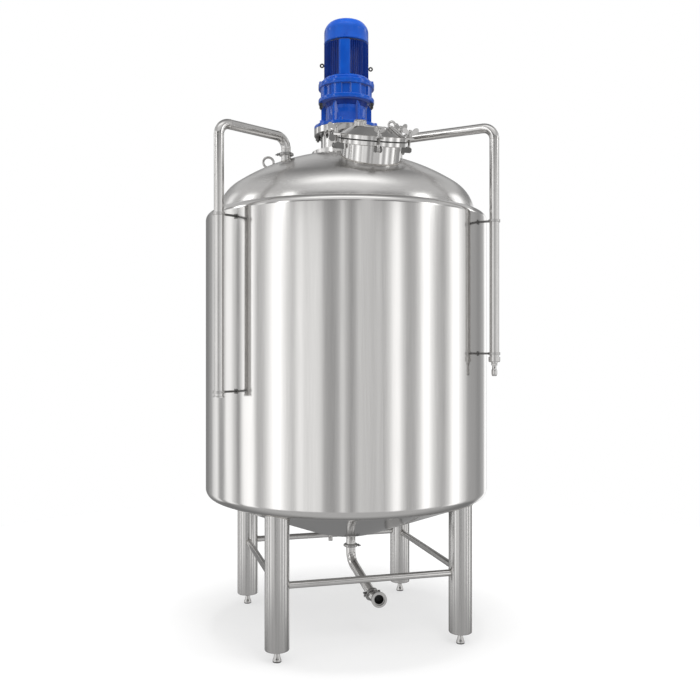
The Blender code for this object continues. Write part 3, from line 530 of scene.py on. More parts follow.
def node(tree, kind, output, sockets, **settings):
    """A new node's output; each socket gets a constant, or a link when its value is an output."""
    made = tree.nodes.new("ShaderNode" + kind)
    for label, value in settings.items():
        setattr(made, label, value)
    for label, value in sockets.items():
        if isinstance(value, bpy.types.NodeSocket):
            tree.links.new(value, made.inputs[label])
        else:
            made.inputs[label].default_value = value
    return made.outputs[output]


class Surface:
    """One procedural material: noise in object space drives colour, roughness and bump."""

    def __init__(self, name, metallic, **fixed):
        self.material = bpy.data.materials.new(name)
        self.material.use_nodes = True
        self.tree = self.material.node_tree
        self.shader = self.tree.nodes["Principled BSDF"]
        self.shader.inputs["Metallic"].default_value = metallic
        for label, value in fixed.items():
            self.shader.inputs[label.replace("_", " ")].default_value = value
        self.coords = node(self.tree, "TexCoord", "Object", {})
        self.normal = None

    def noise(self, scale, detail, roughness, distortion=0):
        """Noise whose grain is stretched by a scale for each axis."""
        place = node(self.tree, "Mapping", "Vector", {"Vector": self.coords, "Scale": scale})
        sockets = {"Vector": place, "Scale": 1, "Detail": detail, "Roughness": roughness, "Distortion": distortion}
        return node(self.tree, "TexNoise", "Fac", sockets)

    def spread(self, value, low, high, first=0.3, last=0.7):
        sockets = {"Value": value, "From Min": first, "From Max": last, "To Min": low, "To Max": high}
        return node(self.tree, "MapRange", "Result", sockets)

    def sum(self, first, second):
        return node(self.tree, "Math", "Value", {0: first, 1: second})

    def feed(self, label, value):
        self.tree.links.new(value, self.shader.inputs[label])

    def colour(self, value, dark, light):
        sockets = {"A": (*dark, 1), "B": (*light, 1), "Factor": value}
        self.feed("Base Color", node(self.tree, "Mix", "Result", sockets, data_type="RGBA"))

    def bump(self, value, strength, distance):
        sockets = {"Strength": strength, "Distance": distance, "Height": value}
        if self.normal is not None:
            sockets["Normal"] = self.normal
        self.normal = node(self.tree, "Bump", "Normal", sockets)
        self.feed("Normal", self.normal)


def steel(name, tone, roughness, grain, wave=None, aniso=0, scratch=0.02):
    """Ground stainless steel: fine grain along one way, faint smears, and slow waves in the sheet."""
    made = Surface(name, 1, Anisotropic=aniso, Anisotropic_Rotation=0.25)
    fine = made.noise(grain, 5, 0.7)
    smear = made.noise(tuple(0.04 * part + 2 for part in grain), 3, 0.5, 0.4)
    tint = (1, 0.985, 0.968)
    dark = tuple(tone * 0.93 * part for part in tint)
    light = tuple(tone * 1.05 * part for part in tint)
    made.colour(made.spread(fine, 0, 1), dark, light)
    level = made.spread(fine, roughness - 0.03, roughness + 0.03)
    made.feed("Roughness", made.sum(level, made.spread(smear, -0.015, 0.03)))
    if wave is not None:
        scale, strength = wave
        made.bump(made.noise(scale, 2, 0.45), strength, 0.01)
    made.bump(fine, scratch, 0.0004)
    return made.material


def paint(name, dark, light, roughness, coat=0.5):
    """Gloss machine paint with a light orange peel and dust dulling it in places."""
    made = Surface(name, 0, IOR=1.45, Specular_IOR_Level=0.12, Coat_Weight=coat, Coat_Roughness=0.07)
    dust = made.noise((14, 14, 9), 4, 0.6, 0.3)
    peel = made.noise((260, 260, 260), 2, 0.5)
    made.colour(made.spread(dust, 0, 1, 0.35, 0.68), dark, light)
    made.feed("Roughness", made.spread(dust, roughness - 0.05, roughness + 0.12))
    made.bump(peel, 0.03, 0.0004)
    return made.material


def rubber(name, tone):
    made = Surface(name, 0, IOR=1.45)
    fine = made.noise((260, 260, 260), 3, 0.6)
    made.colour(made.spread(fine, 0, 1), (tone * 0.7,) * 3, (tone * 1.4,) * 3)
    made.feed("Roughness", made.spread(fine, 0.48, 0.72))
    made.bump(fine, 0.2, 0.0004)
    return made.material


def weld_steel(name):
    made = Surface(name, 1)
    tint = made.noise((30, 30, 30), 4, 0.6)
    made.colour(made.spread(tint, 0, 1), (0.34, 0.32, 0.3), (0.62, 0.6, 0.57))
    made.feed("Roughness", made.spread(tint, 0.26, 0.44))
    made.bump(made.noise((500, 500, 500), 3, 0.6), 0.3, 0.0006)
    return made.material


FINISHES = {
    "shell": (steel("shell_steel_finish", 0.66, 0.125, (420, 420, 3), ((3, 3, 0.05), 0.025), 0.4), "shell_steel"),
    "inside": (steel("vessel_inside_finish", 0.6, 0.24, (30, 30, 700)), "shell_steel"),
    "head": (steel("head_steel_finish", 0.66, 0.235, (40, 40, 320), ((2.2, 2.2, 2.2), 0.05)), "head_steel"),
    "under": (steel("underside_steel_finish", 0.58, 0.09, (40, 40, 200), ((1.8, 1.8, 1.8), 0.05)), "head_steel"),
    "manway": (steel("manway_steel_finish", 0.6, 0.12, (90, 90, 500)), "head_steel"),
    "tube": (steel("tube_steel_finish", 0.58, 0.13, (10, 10, 3), None, 0, 0), "tube_steel"),
    "leg": (steel("leg_steel_finish", 0.5, 0.18, (60, 60, 1), None, 0, 0), "tube_steel"),
    "fitting": (steel("fitting_steel_finish", 0.48, 0.13, (30, 30, 30), None, 0, 0), "fitting_steel"),
    "clamp": (steel("clamp_steel_finish", 0.34, 0.16, (30, 30, 30), None, 0, 0), "fitting_steel"),
    "cast": (steel("cast_steel_finish", 0.17, 0.3, (220, 220, 220)), "fitting_steel"),
    "weld": (weld_steel("weld_finish"), "tube_steel"),
    "dark": (steel("dark_bolt_finish", 0.06, 0.34, (200, 200, 200)), "fitting_steel"),
    "paint": (paint("drive_paint_finish", (0.0003, 0.062, 0.4), (0.0006, 0.084, 0.48), 0.3), "drive_paint"),
    # A darker copy of the drive paint: painted shade between the motor's fins and under the gearbox ring's lip.
    "shaded_paint": (paint("shaded_fin_paint_finish", (0.0005, 0.02, 0.18), (0.001, 0.03, 0.23), 0.34, 0.15), "fin_paint"),
    "rubber": (rubber("gasket_rubber_finish", 0.02), "gasket_rubber"),
}


# ---------------------------------------------------------------- tank

def build_shell():
    inner = VESSEL_RADIUS + GAP
    bend = CLADDING_RADIUS - KNUCKLE_RADIUS
    outline = [(inner, bottom_height(inner))]
    outline += arc(bend, KNUCKLE_Z, KNUCKLE_RADIUS, CONE_ANGLE - pi / 2, 0, 24)
    outline += [(CLADDING_RADIUS, height) for height in (1.4, 2)]
    outline += arc(CLADDING_RADIUS - SHOULDER_BEND, SHOULDER_Z - SHOULDER_BEND, SHOULDER_BEND, 0, pi / 2, 16)
    outline += [(inner, SHOULDER_Z)]
    piece("shell_skin", "shell", turned(outline, TANK_SIDES), stands_for=["cladding"])
    wall = VESSEL_RADIUS - VESSEL_WALL
    outline = [(wall, VESSEL_BOTTOM_Z + GAP), (VESSEL_RADIUS, VESSEL_BOTTOM_Z + GAP), (VESSEL_RADIUS, DOME_Z - GAP),
               (wall, DOME_Z - GAP)]
    piece("vessel_skin", "inside", turned(outline, TANK_SIDES), stands_for=["vessel_wall"])


def build_heads():
    outline = tip_curve(0, 16)
    outline += [(VESSEL_RADIUS, bottom_height(VESSEL_RADIUS)), (VESSEL_RADIUS, VESSEL_BOTTOM_Z)]
    inner = VESSEL_RADIUS - VESSEL_WALL
    outline += [(inner, VESSEL_BOTTOM_Z), (inner, bottom_height(inner, -BOTTOM_THICKNESS))]
    outline += list(reversed(tip_curve(-BOTTOM_THICKNESS, 16)))
    bottom = shape("bottom_head_skin", turned(outline, TANK_SIDES))
    cut(bottom, shape("outlet_hole", rod(OUTLET_RADIUS + GAP, 0.4, 0.9, PIPE_SIDES), outlet_matrix(0)))
    finished(bottom, "under", stands_for=["bottom_head"])
    outline = dome_curve(0, 36, 40) + list(reversed(dome_curve(-VESSEL_WALL, 24, 24)))
    dome = shape("top_head_skin", turned(outline, TANK_SIDES))
    holes = [shape("drive_hole", rod(0.118, 2.9, 3.1, DRIVE_SIDES))]
    holes.append(shape("manway_hole", rod(MANWAY_NECK_RADIUS + GAP, -0.5, 0.1, DRIVE_SIDES), manway_matrix()))
    for degrees, distance, _, _ in (LEFT_PIPE, RIGHT_PIPE):
        place = around_tank(degrees) @ move(distance, 0, 0)
        holes.append(shape("nozzle_hole", rod(PIPE_RADIUS + GAP, 2.7, 3.1, PIPE_SIDES), place))
    cut(dome, *holes)
    finished(dome, "head", stands_for=["top_head"])
    bead("shoulder_weld", level_ring(VESSEL_RADIUS + 0.0015, 900, SHOULDER_Z + 0.001), 0.0035)


def leg_ring(x, y, radius, count):
    """Where an upright round bar meets the underside."""
    places = [(x + across, y + along) for across, along in circle(radius, count)]
    return [Vector((u, v, bottom_height(hypot(u, v)))) for u, v in places]


def build_leg(place, degrees):
    x, y = on_circle(LEG_CIRCLE, degrees)
    built = bmesh.new()
    edge = LEG_RADIUS - LEG_EDGE
    levels = [(edge, LEG_BOTTOM_Z)] + arc(edge, LEG_BOTTOM_Z + LEG_EDGE, LEG_EDGE, -pi / 2, 0, 4)
    rings = []
    for radius, height in levels:
        rings.append([built.verts.new((x + u, y + v, height)) for u, v in circle(radius, LEG_SIDES)])
    into_tank = Vector((0, 0, 0.002))
    rings.append([built.verts.new(point + into_tank) for point in leg_ring(x, y, LEG_RADIUS, LEG_SIDES)])
    crown = built.verts.new(sum((vertex.co for vertex in rings[-1]), Vector()) / LEG_SIDES)
    built.faces.new(list(reversed(rings[0])))
    join_rings(built, rings + [[crown]])
    bmesh.ops.remove_doubles(built, verts=built.verts, dist=1e-6)
    skin(f"leg_{place}", "leg", built)
    bead(f"leg_{place}_weld", leg_ring(x, y, LEG_RADIUS + 0.001, 180), 0.0035)
    pad = [(0, 0), (0.0242, 0), (0.025, 0.001), (0.025, 0.005), (0, 0.005)]
    piece(f"foot_{place}_pad", "rubber", turned(pad, SMALL_SIDES), move(x, y, 0))
    bell = [(0, 0.005), (0.0247, 0.005), (0.025, 0.008), (0.0247, 0.013), (0.0228, 0.018), (0.0202, 0.025),
            (0.018, 0.033), (0.016, 0.042), (0.015, 0.048), (0.015, 0.051), (0.0125, 0.053), (0.0125, 0.068),
            (0, 0.068)]
    foot = together(turned(bell, SMALL_SIDES), hexagon(0.0245, 0.0585, 0.0675))
    skin(f"foot_{place}", "fitting", foot, move(x, y, 0), soft=0.0008)


def build_brace(name, first, second, height):
    start = Vector((*on_circle(LEG_CIRCLE, first), height))
    end = Vector((*on_circle(LEG_CIRCLE, second), height))
    way = (end - start).normalized()
    bar = swept([start + way * 0.05, end - way * 0.05], [BRACE_RADIUS] * 2, 48, Vector((0, 0, 1)))
    skin(name, "tube", bar)
    side = way.cross(Vector((0, 0, 1)))
    for number, (point, sign) in enumerate(((start, 1), (end, -1))):
        route = []
        for across, up in circle(BRACE_RADIUS + 0.0008, 60):
            reach = sqrt(LEG_RADIUS ** 2 - across ** 2)
            route.append(point + way * sign * reach + side * across + Vector((0, 0, up)))
        bead(f"{name}_weld_{number}", route, 0.0022)


# ---------------------------------------------------------------- drive

def ring_of(count, first, distance, height, maker):
    """The same small shape at equal steps round the tank's axis."""
    parts = []
    for number in range(count):
        parts.append((maker(), around_tank(first + 360 * number / count) @ move(distance, 0, height)))
    return together(*parts)


def build_drive_neck():
    low, high = FLANGE_Z
    outline = [(radius, dome_height(radius) + GAP) for radius in (NECK_BORE_RADIUS, 0.15, 0.19, PAD_RADIUS)]
    outline += raised(PAD_TOP_Z, [(PAD_RADIUS, 0), (NECK_RADIUS + 0.006, 0), (NECK_RADIUS, 0.006)])
    outline += raised(low, [(NECK_RADIUS, -0.006), (NECK_RADIUS + 0.006, 0), (FLANGE_RADIUS, 0)])
    outline += [(FLANGE_RADIUS, high), (NECK_BORE_RADIUS, high)]
    skin("drive_neck", "manway", turned(outline, DRIVE_SIDES), soft=0.0015)
    bead("drive_pad_weld", level_ring(PAD_RADIUS + 0.001, 600, dome_height(PAD_RADIUS) + 0.001), 0.003)
    nuts = ring_of(*FLANGE_BOLTS, low - 0.016, lambda: hexagon(0.027, 0, 0.016))
    ends = ring_of(*FLANGE_BOLTS, low - 0.026, lambda: rod(0.008, 0, 0.012, 20))
    piece("flange_nuts", "cast", together(nuts, ends), soft=0.0008)


def build_gearbox():
    low = FLANGE_Z[1] + GAP
    foot, top = GEARBOX_FOOT_TOP_Z, GEARBOX_TOP_Z
    outline = [(0, low), (FLANGE_RADIUS, low)]
    outline += raised(foot, [(FLANGE_RADIUS, 0), (0.15, 0), (0.14, 0.004), (0.134, 0.012)])
    outline += raised(top, [(0.13, -0.016), (0.134, -0.006), (0.142, -GAP), (0, -GAP)])
    parts = [turned(outline, DRIVE_SIDES)]
    rib = raised(foot, [(0.12, -0.004), (GEARBOX_RIB_RADIUS, -0.004)])
    rib += raised(top, [(GEARBOX_RIB_RADIUS, -0.036), (0.14, -0.004), (0.12, -0.004)])
    parts += [plate(rib, -0.007, 0.007, around_tank(224.7 + 60 * number)) for number in range(6)]
    skin("gearbox_housing", "paint", together(*parts), soft=0.0022)
    # A dark navy band round the housing's top, in the darker paint copy: painted shade under the ring's lower lip.
    painted_shade_band = raised(top, [(0.12, -0.034), (0.1325, -0.03), (0.1425, -0.006), (0.143, -0.0006), (0.12, -0.0006)])
    piece("gearbox_painted_shade_band", "shaded_paint", turned(painted_shade_band, DRIVE_SIDES))
    washers = ring_of(*FLANGE_BOLTS, foot, lambda: rod(0.015, 0, 0.003, 28))
    heads = ring_of(*FLANGE_BOLTS, foot + 0.003, lambda: hexagon(0.024, 0, 0.014))
    piece("gearbox_foot_bolts", "paint", together(washers, heads), soft=0.0012)


def drum_radius(degrees):
    """The drum's side: pads with eight recesses between them, one of them in front."""
    from_window = (degrees - 254.7 + 22.5) % 45 - 22.5
    return RING_DRUM_RADIUS - RECESS_DEPTH * max(0, min(1, (10.8 - abs(from_window)) / 1.2))


def build_gearbox_ring():
    lip = RING_LIP_RADIUS
    outline = [(0, GEARBOX_TOP_Z), (lip - 0.004, GEARBOX_TOP_Z)]
    outline += arc(lip - 0.004, GEARBOX_TOP_Z + 0.004, 0.004, -pi / 2, 0, 4)[1:]
    outline += arc(lip - 0.007, RING_LIP_BOTTOM_Z - 0.007, 0.007, 0, pi / 2, 5)
    outline += [(0.15, RING_LIP_BOTTOM_Z), (0.15, RING_LIP_TOP_Z)]
    outline += arc(lip - 0.003, RING_LIP_TOP_Z + 0.003, 0.003, -pi / 2, 0, 3)
    outline += arc(lip - 0.004, RING_TOP_Z - 0.004, 0.004, 0, pi / 2, 4) + [(0, RING_TOP_Z)]
    drum = [on_circle(drum_radius(step / 2), step / 2) for step in range(720)]
    drum = prism(drum, RING_LIP_BOTTOM_Z - 0.001, RING_LIP_TOP_Z + 0.001)
    ring = together(turned(outline, DRIVE_SIDES), drum)
    skin("gearbox_ring", "paint", ring)
    heads, nuts = [], []
    for degrees in RING_BOLTS:
        place = around_tank(degrees) @ move(RING_BOLT_CIRCLE, 0, 0)
        upper, lower = place @ move(0, 0, RING_TOP_Z), place @ move(0, 0, GEARBOX_TOP_Z)
        heads += [(hexagon(0.019, 0, 0.012), upper), (rod(0.012, 0, 0.002, 28), upper)]
        nuts += [(hexagon(0.021, -0.015, 0), lower), (rod(0.006, -0.023, 0, 24), lower)]
    piece("ring_top_bolts", "paint", together(*heads), soft=0.001)
    piece("ring_lower_bolts", "dark", together(*nuts), soft=0.001)


def build_motor():
    low, high = MOTOR_FINS_Z[0], MOTOR_FINS_Z[1] - COWL_SHADOW
    base = RING_TOP_Z + GAP
    outline = [(0, base), (MOTOR_BASE_RADIUS, base), (MOTOR_BASE_RADIUS, base + 0.012)]
    outline += arc(MOTOR_BASE_RADIUS - 0.0085, base + 0.0165, 0.0085, 0, pi / 2, 5) + [(0.14, low), (0, low)]
    piece("motor_base_skin", "paint", turned(outline, DRIVE_SIDES))
    parts = [rod(MOTOR_ROOT_RADIUS - 0.003, low - 0.004, high, DRIVE_SIDES)]
    fin = mirrored([(0.122, -0.0022), (MOTOR_FIN_RADIUS - 0.001, -0.0014), (MOTOR_FIN_RADIUS, -0.0006)])
    for degrees in range(0, 360, 6):
        from_panel = abs((degrees - PANEL_DEG + 180) % 360 - 180)
        from_box = abs((degrees - 90 + 180) % 360 - 180)
        if from_panel >= 15 and from_box >= 22:
            parts.append((prism(fin, low - 0.004, high), around_tank(degrees)))
    # The fins take the darker paint copy: painted shade in the gaps between them.
    piece("motor_fins", "shaded_paint", together(*parts), stands_for=["motor_body"], sharp=50)
    # A near-black collar in the gap under the cowl: painted shadow of the cowl.
    piece("cowl_shadow_collar", "dark", rod(MOTOR_ROOT_RADIUS, high - 0.001, MOTOR_FINS_Z[1], DRIVE_SIDES))
    panel = mirrored([(0.12, -0.036), (0.136, -0.036), (0.1425, -0.026), (0.144, -0.012)])
    panel = prism(panel, low - 0.003, high - 0.001)
    piece("motor_panel", "paint", panel, around_tank(PANEL_DEG), sharp=25, soft=0.002)
    pad = prism(oblong(0.12, BOX_FACE_Y - 0.001, 0.04), low + 0.02, high - 0.02)
    piece("terminal_box_pad", "paint", pad, around_tank(90), soft=0.002)


def build_cowl():
    low = MOTOR_FINS_Z[1] + GAP
    side = COWL_RADIUS - 0.0012
    outline = raised(low, [(0, 0), (COWL_RADIUS - 0.004, 0), (COWL_RADIUS, 0.003), (COWL_RADIUS, 0.01)])
    outline.append((side, low + 0.0125))
    outline += [(side, 3.818), (0.1425, 3.826), (0.14, 3.8365), (0.1362, 3.846), (0.13, 3.856), (0.1225, 3.8655)]
    outline += [(0.114, 3.874), (0.104, 3.8805), (0.092, 3.8843), (0.084, 3.885), (0.0825, 3.88), (0, 3.88)]
    skin("fan_cowl", "paint", turned(outline, DRIVE_SIDES), sharp=40)
    grille = (0.02, 0.034, 0.048, 0.062, 0.076)
    bars = [turned(arc(radius, 3.8828, 0.0018, 0, 2 * pi * 7 / 8, 7), 96) for radius in grille]
    bars += [(block((0.01, -0.002, 3.8805), (0.083, 0.002, 3.8835)), around_tank(45 * number)) for number in range(8)]
    bars.append(turned([(0, 3.88), (0.012, 3.88), (0.012, 3.885), (0.009, 3.8868), (0, COWL_TOP_Z)], SMALL_SIDES))
    piece("fan_grille", "dark", together(*bars))
    screws = ring_of(4, 251, side, low + 0.012, lambda: together((rod(0.0055, -0.001, 0.0011, 20), LAID_OUT)))
    piece("cowl_screws", "paint", screws)
    for name, degrees, height in (("left", 164.7, 3.61), ("right", 344.7, 3.587)):
        place = around_tank(degrees) @ move(0, 0, height)
        eye = turned(arc(0.0105, 0, 0.0046, 0, 2 * pi * 11 / 12, 11), SMALL_SIDES)
        stem = rod(0.005, 0.128, 0.148, 20)
        ring = together((eye, upright(place @ move(0.158, 0, 0))), (stem, place @ LAID_OUT))
        piece(f"motor_eye_{name}", "dark", ring)


def build_terminal_box():
    width, depth, height = TERMINAL_BOX
    low = Vector((-width / 2, BOX_FACE_Y + GAP, TERMINAL_BOX_Z - height / 2))
    high = Vector((width / 2, BOX_FACE_Y + depth, TERMINAL_BOX_Z + height / 2))
    case = [block(low, (high.x, high.y - 0.016, high.z)), block((low.x, high.y - 0.015, low.z), high)]
    inset = Vector((0.002, 0, 0.002))
    seal = Vector((low.x, high.y - 0.0175, low.z)) + inset, Vector((high.x, high.y - 0.0135, high.z)) - inset
    case.append(block(*seal))
    skin("terminal_box", "paint", together(*case), soft=0.004)
    screw = [(0, -0.002), (0.0045, -0.002), (0.0045, 0.0006), (0.0035, 0.0012), (0, 0.0012)]
    screws = []
    for x in (-0.045, 0.045):
        for z in (-0.055, 0.055):
            place = move(x, high.y - 0.0012, TERMINAL_BOX_Z + z) @ Matrix.Rotation(-pi / 2, 4, "X")
            screws.append((turned(screw, 24), place))
    piece("terminal_box_screws", "cast", together(*screws))
    glands = []
    for x in (-0.024, 0.024):
        place = move(x, BOX_FACE_Y + 0.034, low.z - 0.022)
        glands.append((hexagon(0.022, 0.012, 0.023), place))
        glands.append((turned([(0, 0), (0.0065, 0), (0.0095, 0.004), (0.0095, 0.013), (0, 0.013)], 28), place))
    piece("cable_glands", "rubber", together(*glands), soft=0.0006)


# ---------------------------------------------------------------- manway

def pin(reach, height, half_length, radius, matrix):
    return rod(radius, -half_length, half_length, 28), upright(matrix) @ move(reach, height, 0)


def build_manway_neck():
    outer = MANWAY_NECK_RADIUS
    inner = outer - MANWAY_WALL
    top = -GASKET_HALF - GAP
    under = top - RIM_THICKNESS
    built = bmesh.new()
    levels = [(inner, None), (outer, None), (outer, under - 0.003), (outer + 0.003, under), (RIM_RADIUS, under),
              (RIM_RADIUS, top), (inner, top)]
    loops = []
    for radius, height in levels:
        loop = []
        for x, y in circle(radius, DRIVE_SIDES):
            level = manway_drop(x, y, -4 * VESSEL_WALL) if height is None else height
            loop.append(built.verts.new((x, y, level)))
        loops.append(loop)
    join_rings(built, loops + loops[:1])
    skin("manway_neck", "manway", built, manway_matrix(), soft=0.0012)
    parts = []
    ear = [(0.18, under + 0.002), (0.174, -0.06), (0.228, -0.06), (0.237, -0.053), (0.237, -0.036), (0.23, -0.029),
           (0.206, under + 0.002)]
    for degrees in BOLT_PLACES.values():
        matrix = manway_matrix(degrees)
        parts += [plate(ear, low, low + 0.008, matrix) for low in (-0.0185, 0.0105)]
        parts.append(pin(BOLT_CIRCLE, BOLT_PIVOT_W, 0.0205, 0.0047, matrix))
        for side in (-0.0205, 0.0205):
            end = upright(matrix) @ move(BOLT_CIRCLE, BOLT_PIVOT_W, side)
            parts.append((rod(0.0085, -0.0022, 0.0022, 28), end))
    hinge_ear = [(0.192, top - 0.001), (0.192, under + 0.001), (0.246, under + 0.001), (0.255, -0.015),
                 (0.255, 0.022), (0.249, 0.028), (0.213, 0.028), (0.208, 0.022), (0.208, top - 0.001)]
    matrix = manway_matrix(HINGE_DEG)
    parts += [plate(hinge_ear, low, low + 0.008, matrix) for low in (-0.0245, 0.0165)]
    parts.append(pin(HINGE_REACH, HINGE_W, 0.0285, 0.006, matrix))
    ears = piece("manway_ears", "cast", together(*parts), soft=0.0015)
    ears.visible_glossy = False
    route = [manway_matrix() @ Vector((x, y, manway_drop(x, y) + 0.001)) for x, y in circle(outer + 0.001, 420)]
    bead("manway_weld", route, 0.0035)
    gasket = turned(oblong(inner, GASKET_RADIUS, GASKET_HALF), DRIVE_SIDES)
    skin("manway_gasket", "rubber", gasket, manway_matrix(), soft=0.0008)


def build_manway_lid():
    bottom = GASKET_HALF + GAP
    cone_out, cone_in = LID_CONE_RADII
    rim_top = bottom + RIM_THICKNESS
    slope = (LID_CONE_TOP - rim_top) / (cone_out - cone_in)
    recess_top = LID_CONE_TOP - 1.3 * LID_SKIN - slope * (LID_RECESS_RADIUS - cone_in)
    outline = [(LID_RECESS_RADIUS, bottom), (RIM_RADIUS, bottom), (RIM_RADIUS, rim_top), (cone_out + 0.001, rim_top),
               (cone_out - 0.002, rim_top + 0.0014)]
    outline += raised(LID_CONE_TOP, [(cone_in + 0.006, -0.0042), (cone_in - 0.002, -0.001), (cone_in - 0.012, 0.001)])
    outline += [LID_CROWN, (0, LID_TOP), (0, LID_TOP - LID_SKIN), (LID_CROWN[0], LID_CROWN[1] - LID_SKIN)]
    outline += [(cone_in - 0.004, LID_CONE_TOP - LID_SKIN), (LID_RECESS_RADIUS, recess_top)]
    skin("manway_lid", "manway", turned(outline, DRIVE_SIDES), manway_matrix(), "lid", sharp=24, soft=0.0012)
    parts = []
    low = FORK_TOP_W - 0.011
    fork = [(0.186, low), (FORK_REACH - 0.004, low), (FORK_REACH, low + 0.004), (FORK_REACH, FORK_TOP_W),
            (0.186, FORK_TOP_W)]
    for degrees in BOLT_PLACES.values():
        for start in (-FORK_INSIDE - FORK_THICKNESS, FORK_INSIDE):
            parts.append(plate(fork, start, start + FORK_THICKNESS, manway_matrix(degrees)))
    arm = [(HINGE_REACH + r, HINGE_W + z) for r, z in arc(0, 0, 0.0125, -pi / 2, pi / 2, 10)]
    arm = [(0.19, bottom + 0.002)] + arm + [(0.19, rim_top - 0.001)]
    parts.append(plate(arm, -0.015, 0.015, manway_matrix(HINGE_DEG)))
    piece("lid_arms", "manway", together(*parts), body="lid", soft=0.0013)
    route = [manway_matrix() @ point for point in level_ring(cone_out + 0.0005, 400, rim_top + 0.0006)]
    bead("lid_weld", route, 0.0016, body="lid")


def build_sight_cap():
    """A domed cap with grip flutes round its side."""
    place = manway_matrix() @ move(*SIGHT_PLACE, 0)
    count = 144
    built = bmesh.new()
    levels = [(1, 0.064, 0), (1, 0.088, 1), (1, SIGHT_TOP - 0.016, 1), (0.96, SIGHT_TOP - 0.01, 0.8),
              (0.85, SIGHT_TOP - 0.005, 0.3), (0.66, SIGHT_TOP - 0.0018, 0), (0.35, SIGHT_TOP - 0.0003, 0)]
    rings = []
    for share, height, flute in levels:
        ring = []
        for side in range(count):
            turn = 360 * side / count
            depth = 0.0022 * flute * (0.5 - 0.5 * cos(radians(10 * turn))) ** 2
            x, y = on_circle((SIGHT_RADIUS - depth) * share, turn)
            ring.append(built.verts.new((x, y, height)))
        rings.append(ring)
    built.faces.new(list(reversed(rings[0])))
    join_rings(built, rings + [[built.verts.new((0, 0, SIGHT_TOP))]])
    skin("sight_cap", "fitting", built, place, "lid", sharp=50)


def build_lid_handle():
    seat = GASKET_HALF + RIM_THICKNESS + 2 * GAP + HANDLE_ROD
    curl_r, curl_w, curl = 0.117, 0.092, 0.0195
    head = arc(curl_r, curl_w, curl, radians(5), radians(200), 24)
    tail = [(0.104, 0.0828), (0.118, 0.0826), (0.132, 0.0756), (0.15, 0.0636), (0.17, 0.0502), (0.184, 0.041),
            (0.193, 0.0352), (0.201, seat)]
    for _ in range(2):
        tail = [tail[0]] + quarters(tail, tail[1:]) + [tail[-1]]
    route = [Vector((reach, height, 0)) for reach, height in head + tail]
    bar = swept(route, [HANDLE_ROD] * len(route), 24, Vector((0, 0, 1)))
    skin("lid_handle", "fitting", bar, upright(manway_matrix(HANDLE_DEG)), "lid", soft=0.001)


def build_wing_nut(place, degrees):
    seat = FORK_TOP_W + GAP
    low = seat + NUT_RISES[place]
    boss = raised(seat, [(0, 0), (0.02, 0), (0.02, 0.004), (0.0185, 0.005), (0.014, 0.0065)])
    boss += raised(low, [(0.0128, 0.016), (0.0115, 0.034), (0.0095, 0.037), (0.008, 0.0375), (0.008, 0.0445)])
    boss += raised(low, [(0.0065, 0.046), (0, 0.046)])
    matrix = manway_matrix(degrees) @ move(BOLT_CIRCLE, 0, 0) @ around_tank(NUT_TURNS[place])
    wing = [(0, 0.014), (0.014, 0.0155), (0.03, 0.0245), (0.045, 0.0275), (0.052, 0.036), (0.0525, 0.05),
            (0.045, 0.0585), (0.032, 0.0575), (0.021, 0.0475), (0.012, 0.04), (0, 0.038)]
    parts = [(turned(boss, SMALL_SIDES), matrix)] + wings(wing, 0.005, low, matrix)
    skin(f"wing_nut_{place}", "fitting", together(*parts), body="lid", sharp=40, soft=0.0035)


def build_swing_bolt(place, degrees):
    matrix = manway_matrix(degrees) @ move(BOLT_CIRCLE, 0, BOLT_PIVOT_W)
    length = BOLT_TOP_W - BOLT_PIVOT_W
    outline = [(0, 0.004), (BOLT_RADIUS, 0.004), (BOLT_RADIUS, 0.03)]
    height = 0.03
    while height + 0.002 < length - 0.001:
        outline += [(BOLT_RADIUS - 0.0008, height + 0.001), (BOLT_RADIUS, height + 0.002)]
        height += 0.002
    outline += [(BOLT_RADIUS - 0.0015, length), (0, length)]
    eye = mirrored([(0.0052, -0.009), (0.012, -0.009), (0.013, -0.0078)])
    bolt = together((turned(outline, 28), matrix), (turned(eye, SMALL_SIDES), upright(matrix)))
    skin(f"swing_bolt_{place}", "fitting", bolt, body=f"bolt_{place}", sharp=40)


# ---------------------------------------------------------------- pipes, brackets and lugs

def build_clamp(name, matrix, inner, outer):
    """A hinged two-piece clamp with its bolt and wing nut."""
    half = CLAMP_HALF
    band = mirrored([(inner, -half), (outer - 0.003, -half), (outer, -half * 0.7)])
    hinge = rod(0.0045, -half * 0.8, half * 0.8, 24)
    parts = [(turned(band, 96), matrix), (hinge, matrix @ move(-outer + 0.001, 0, 0))]
    for low in (-0.0085, 0.0015):
        lip = block((outer - 0.004, low, -half * 0.6), (outer + 0.01, low + 0.007, half * 0.6))
        parts.append((lip, matrix))
    parts.append((block((-outer - 0.003, -0.006, -half * 0.5), (-outer + 0.006, 0.006, half * 0.5)), matrix))
    across = upright(matrix @ move(outer + 0.006, 0, 0))
    nut = turned([(0, 0.0085), (0.0078, 0.0085), (0.0066, 0.019), (0, 0.02)], 28)
    wing = [(0, 0.01), (0.012, 0.012), (0.015, 0.022), (0.0095, 0.0245), (0, 0.018)]
    bolt = together((rod(0.0034, -0.014, 0.014, 20), across), (nut, across), *wings(wing, 0.0026, 0, across))
    piece(f"{name}_bolt", "cast", bolt, sharp=32, soft=0.001)
    skin(name, "clamp", together(*parts), sharp=32, soft=0.001)


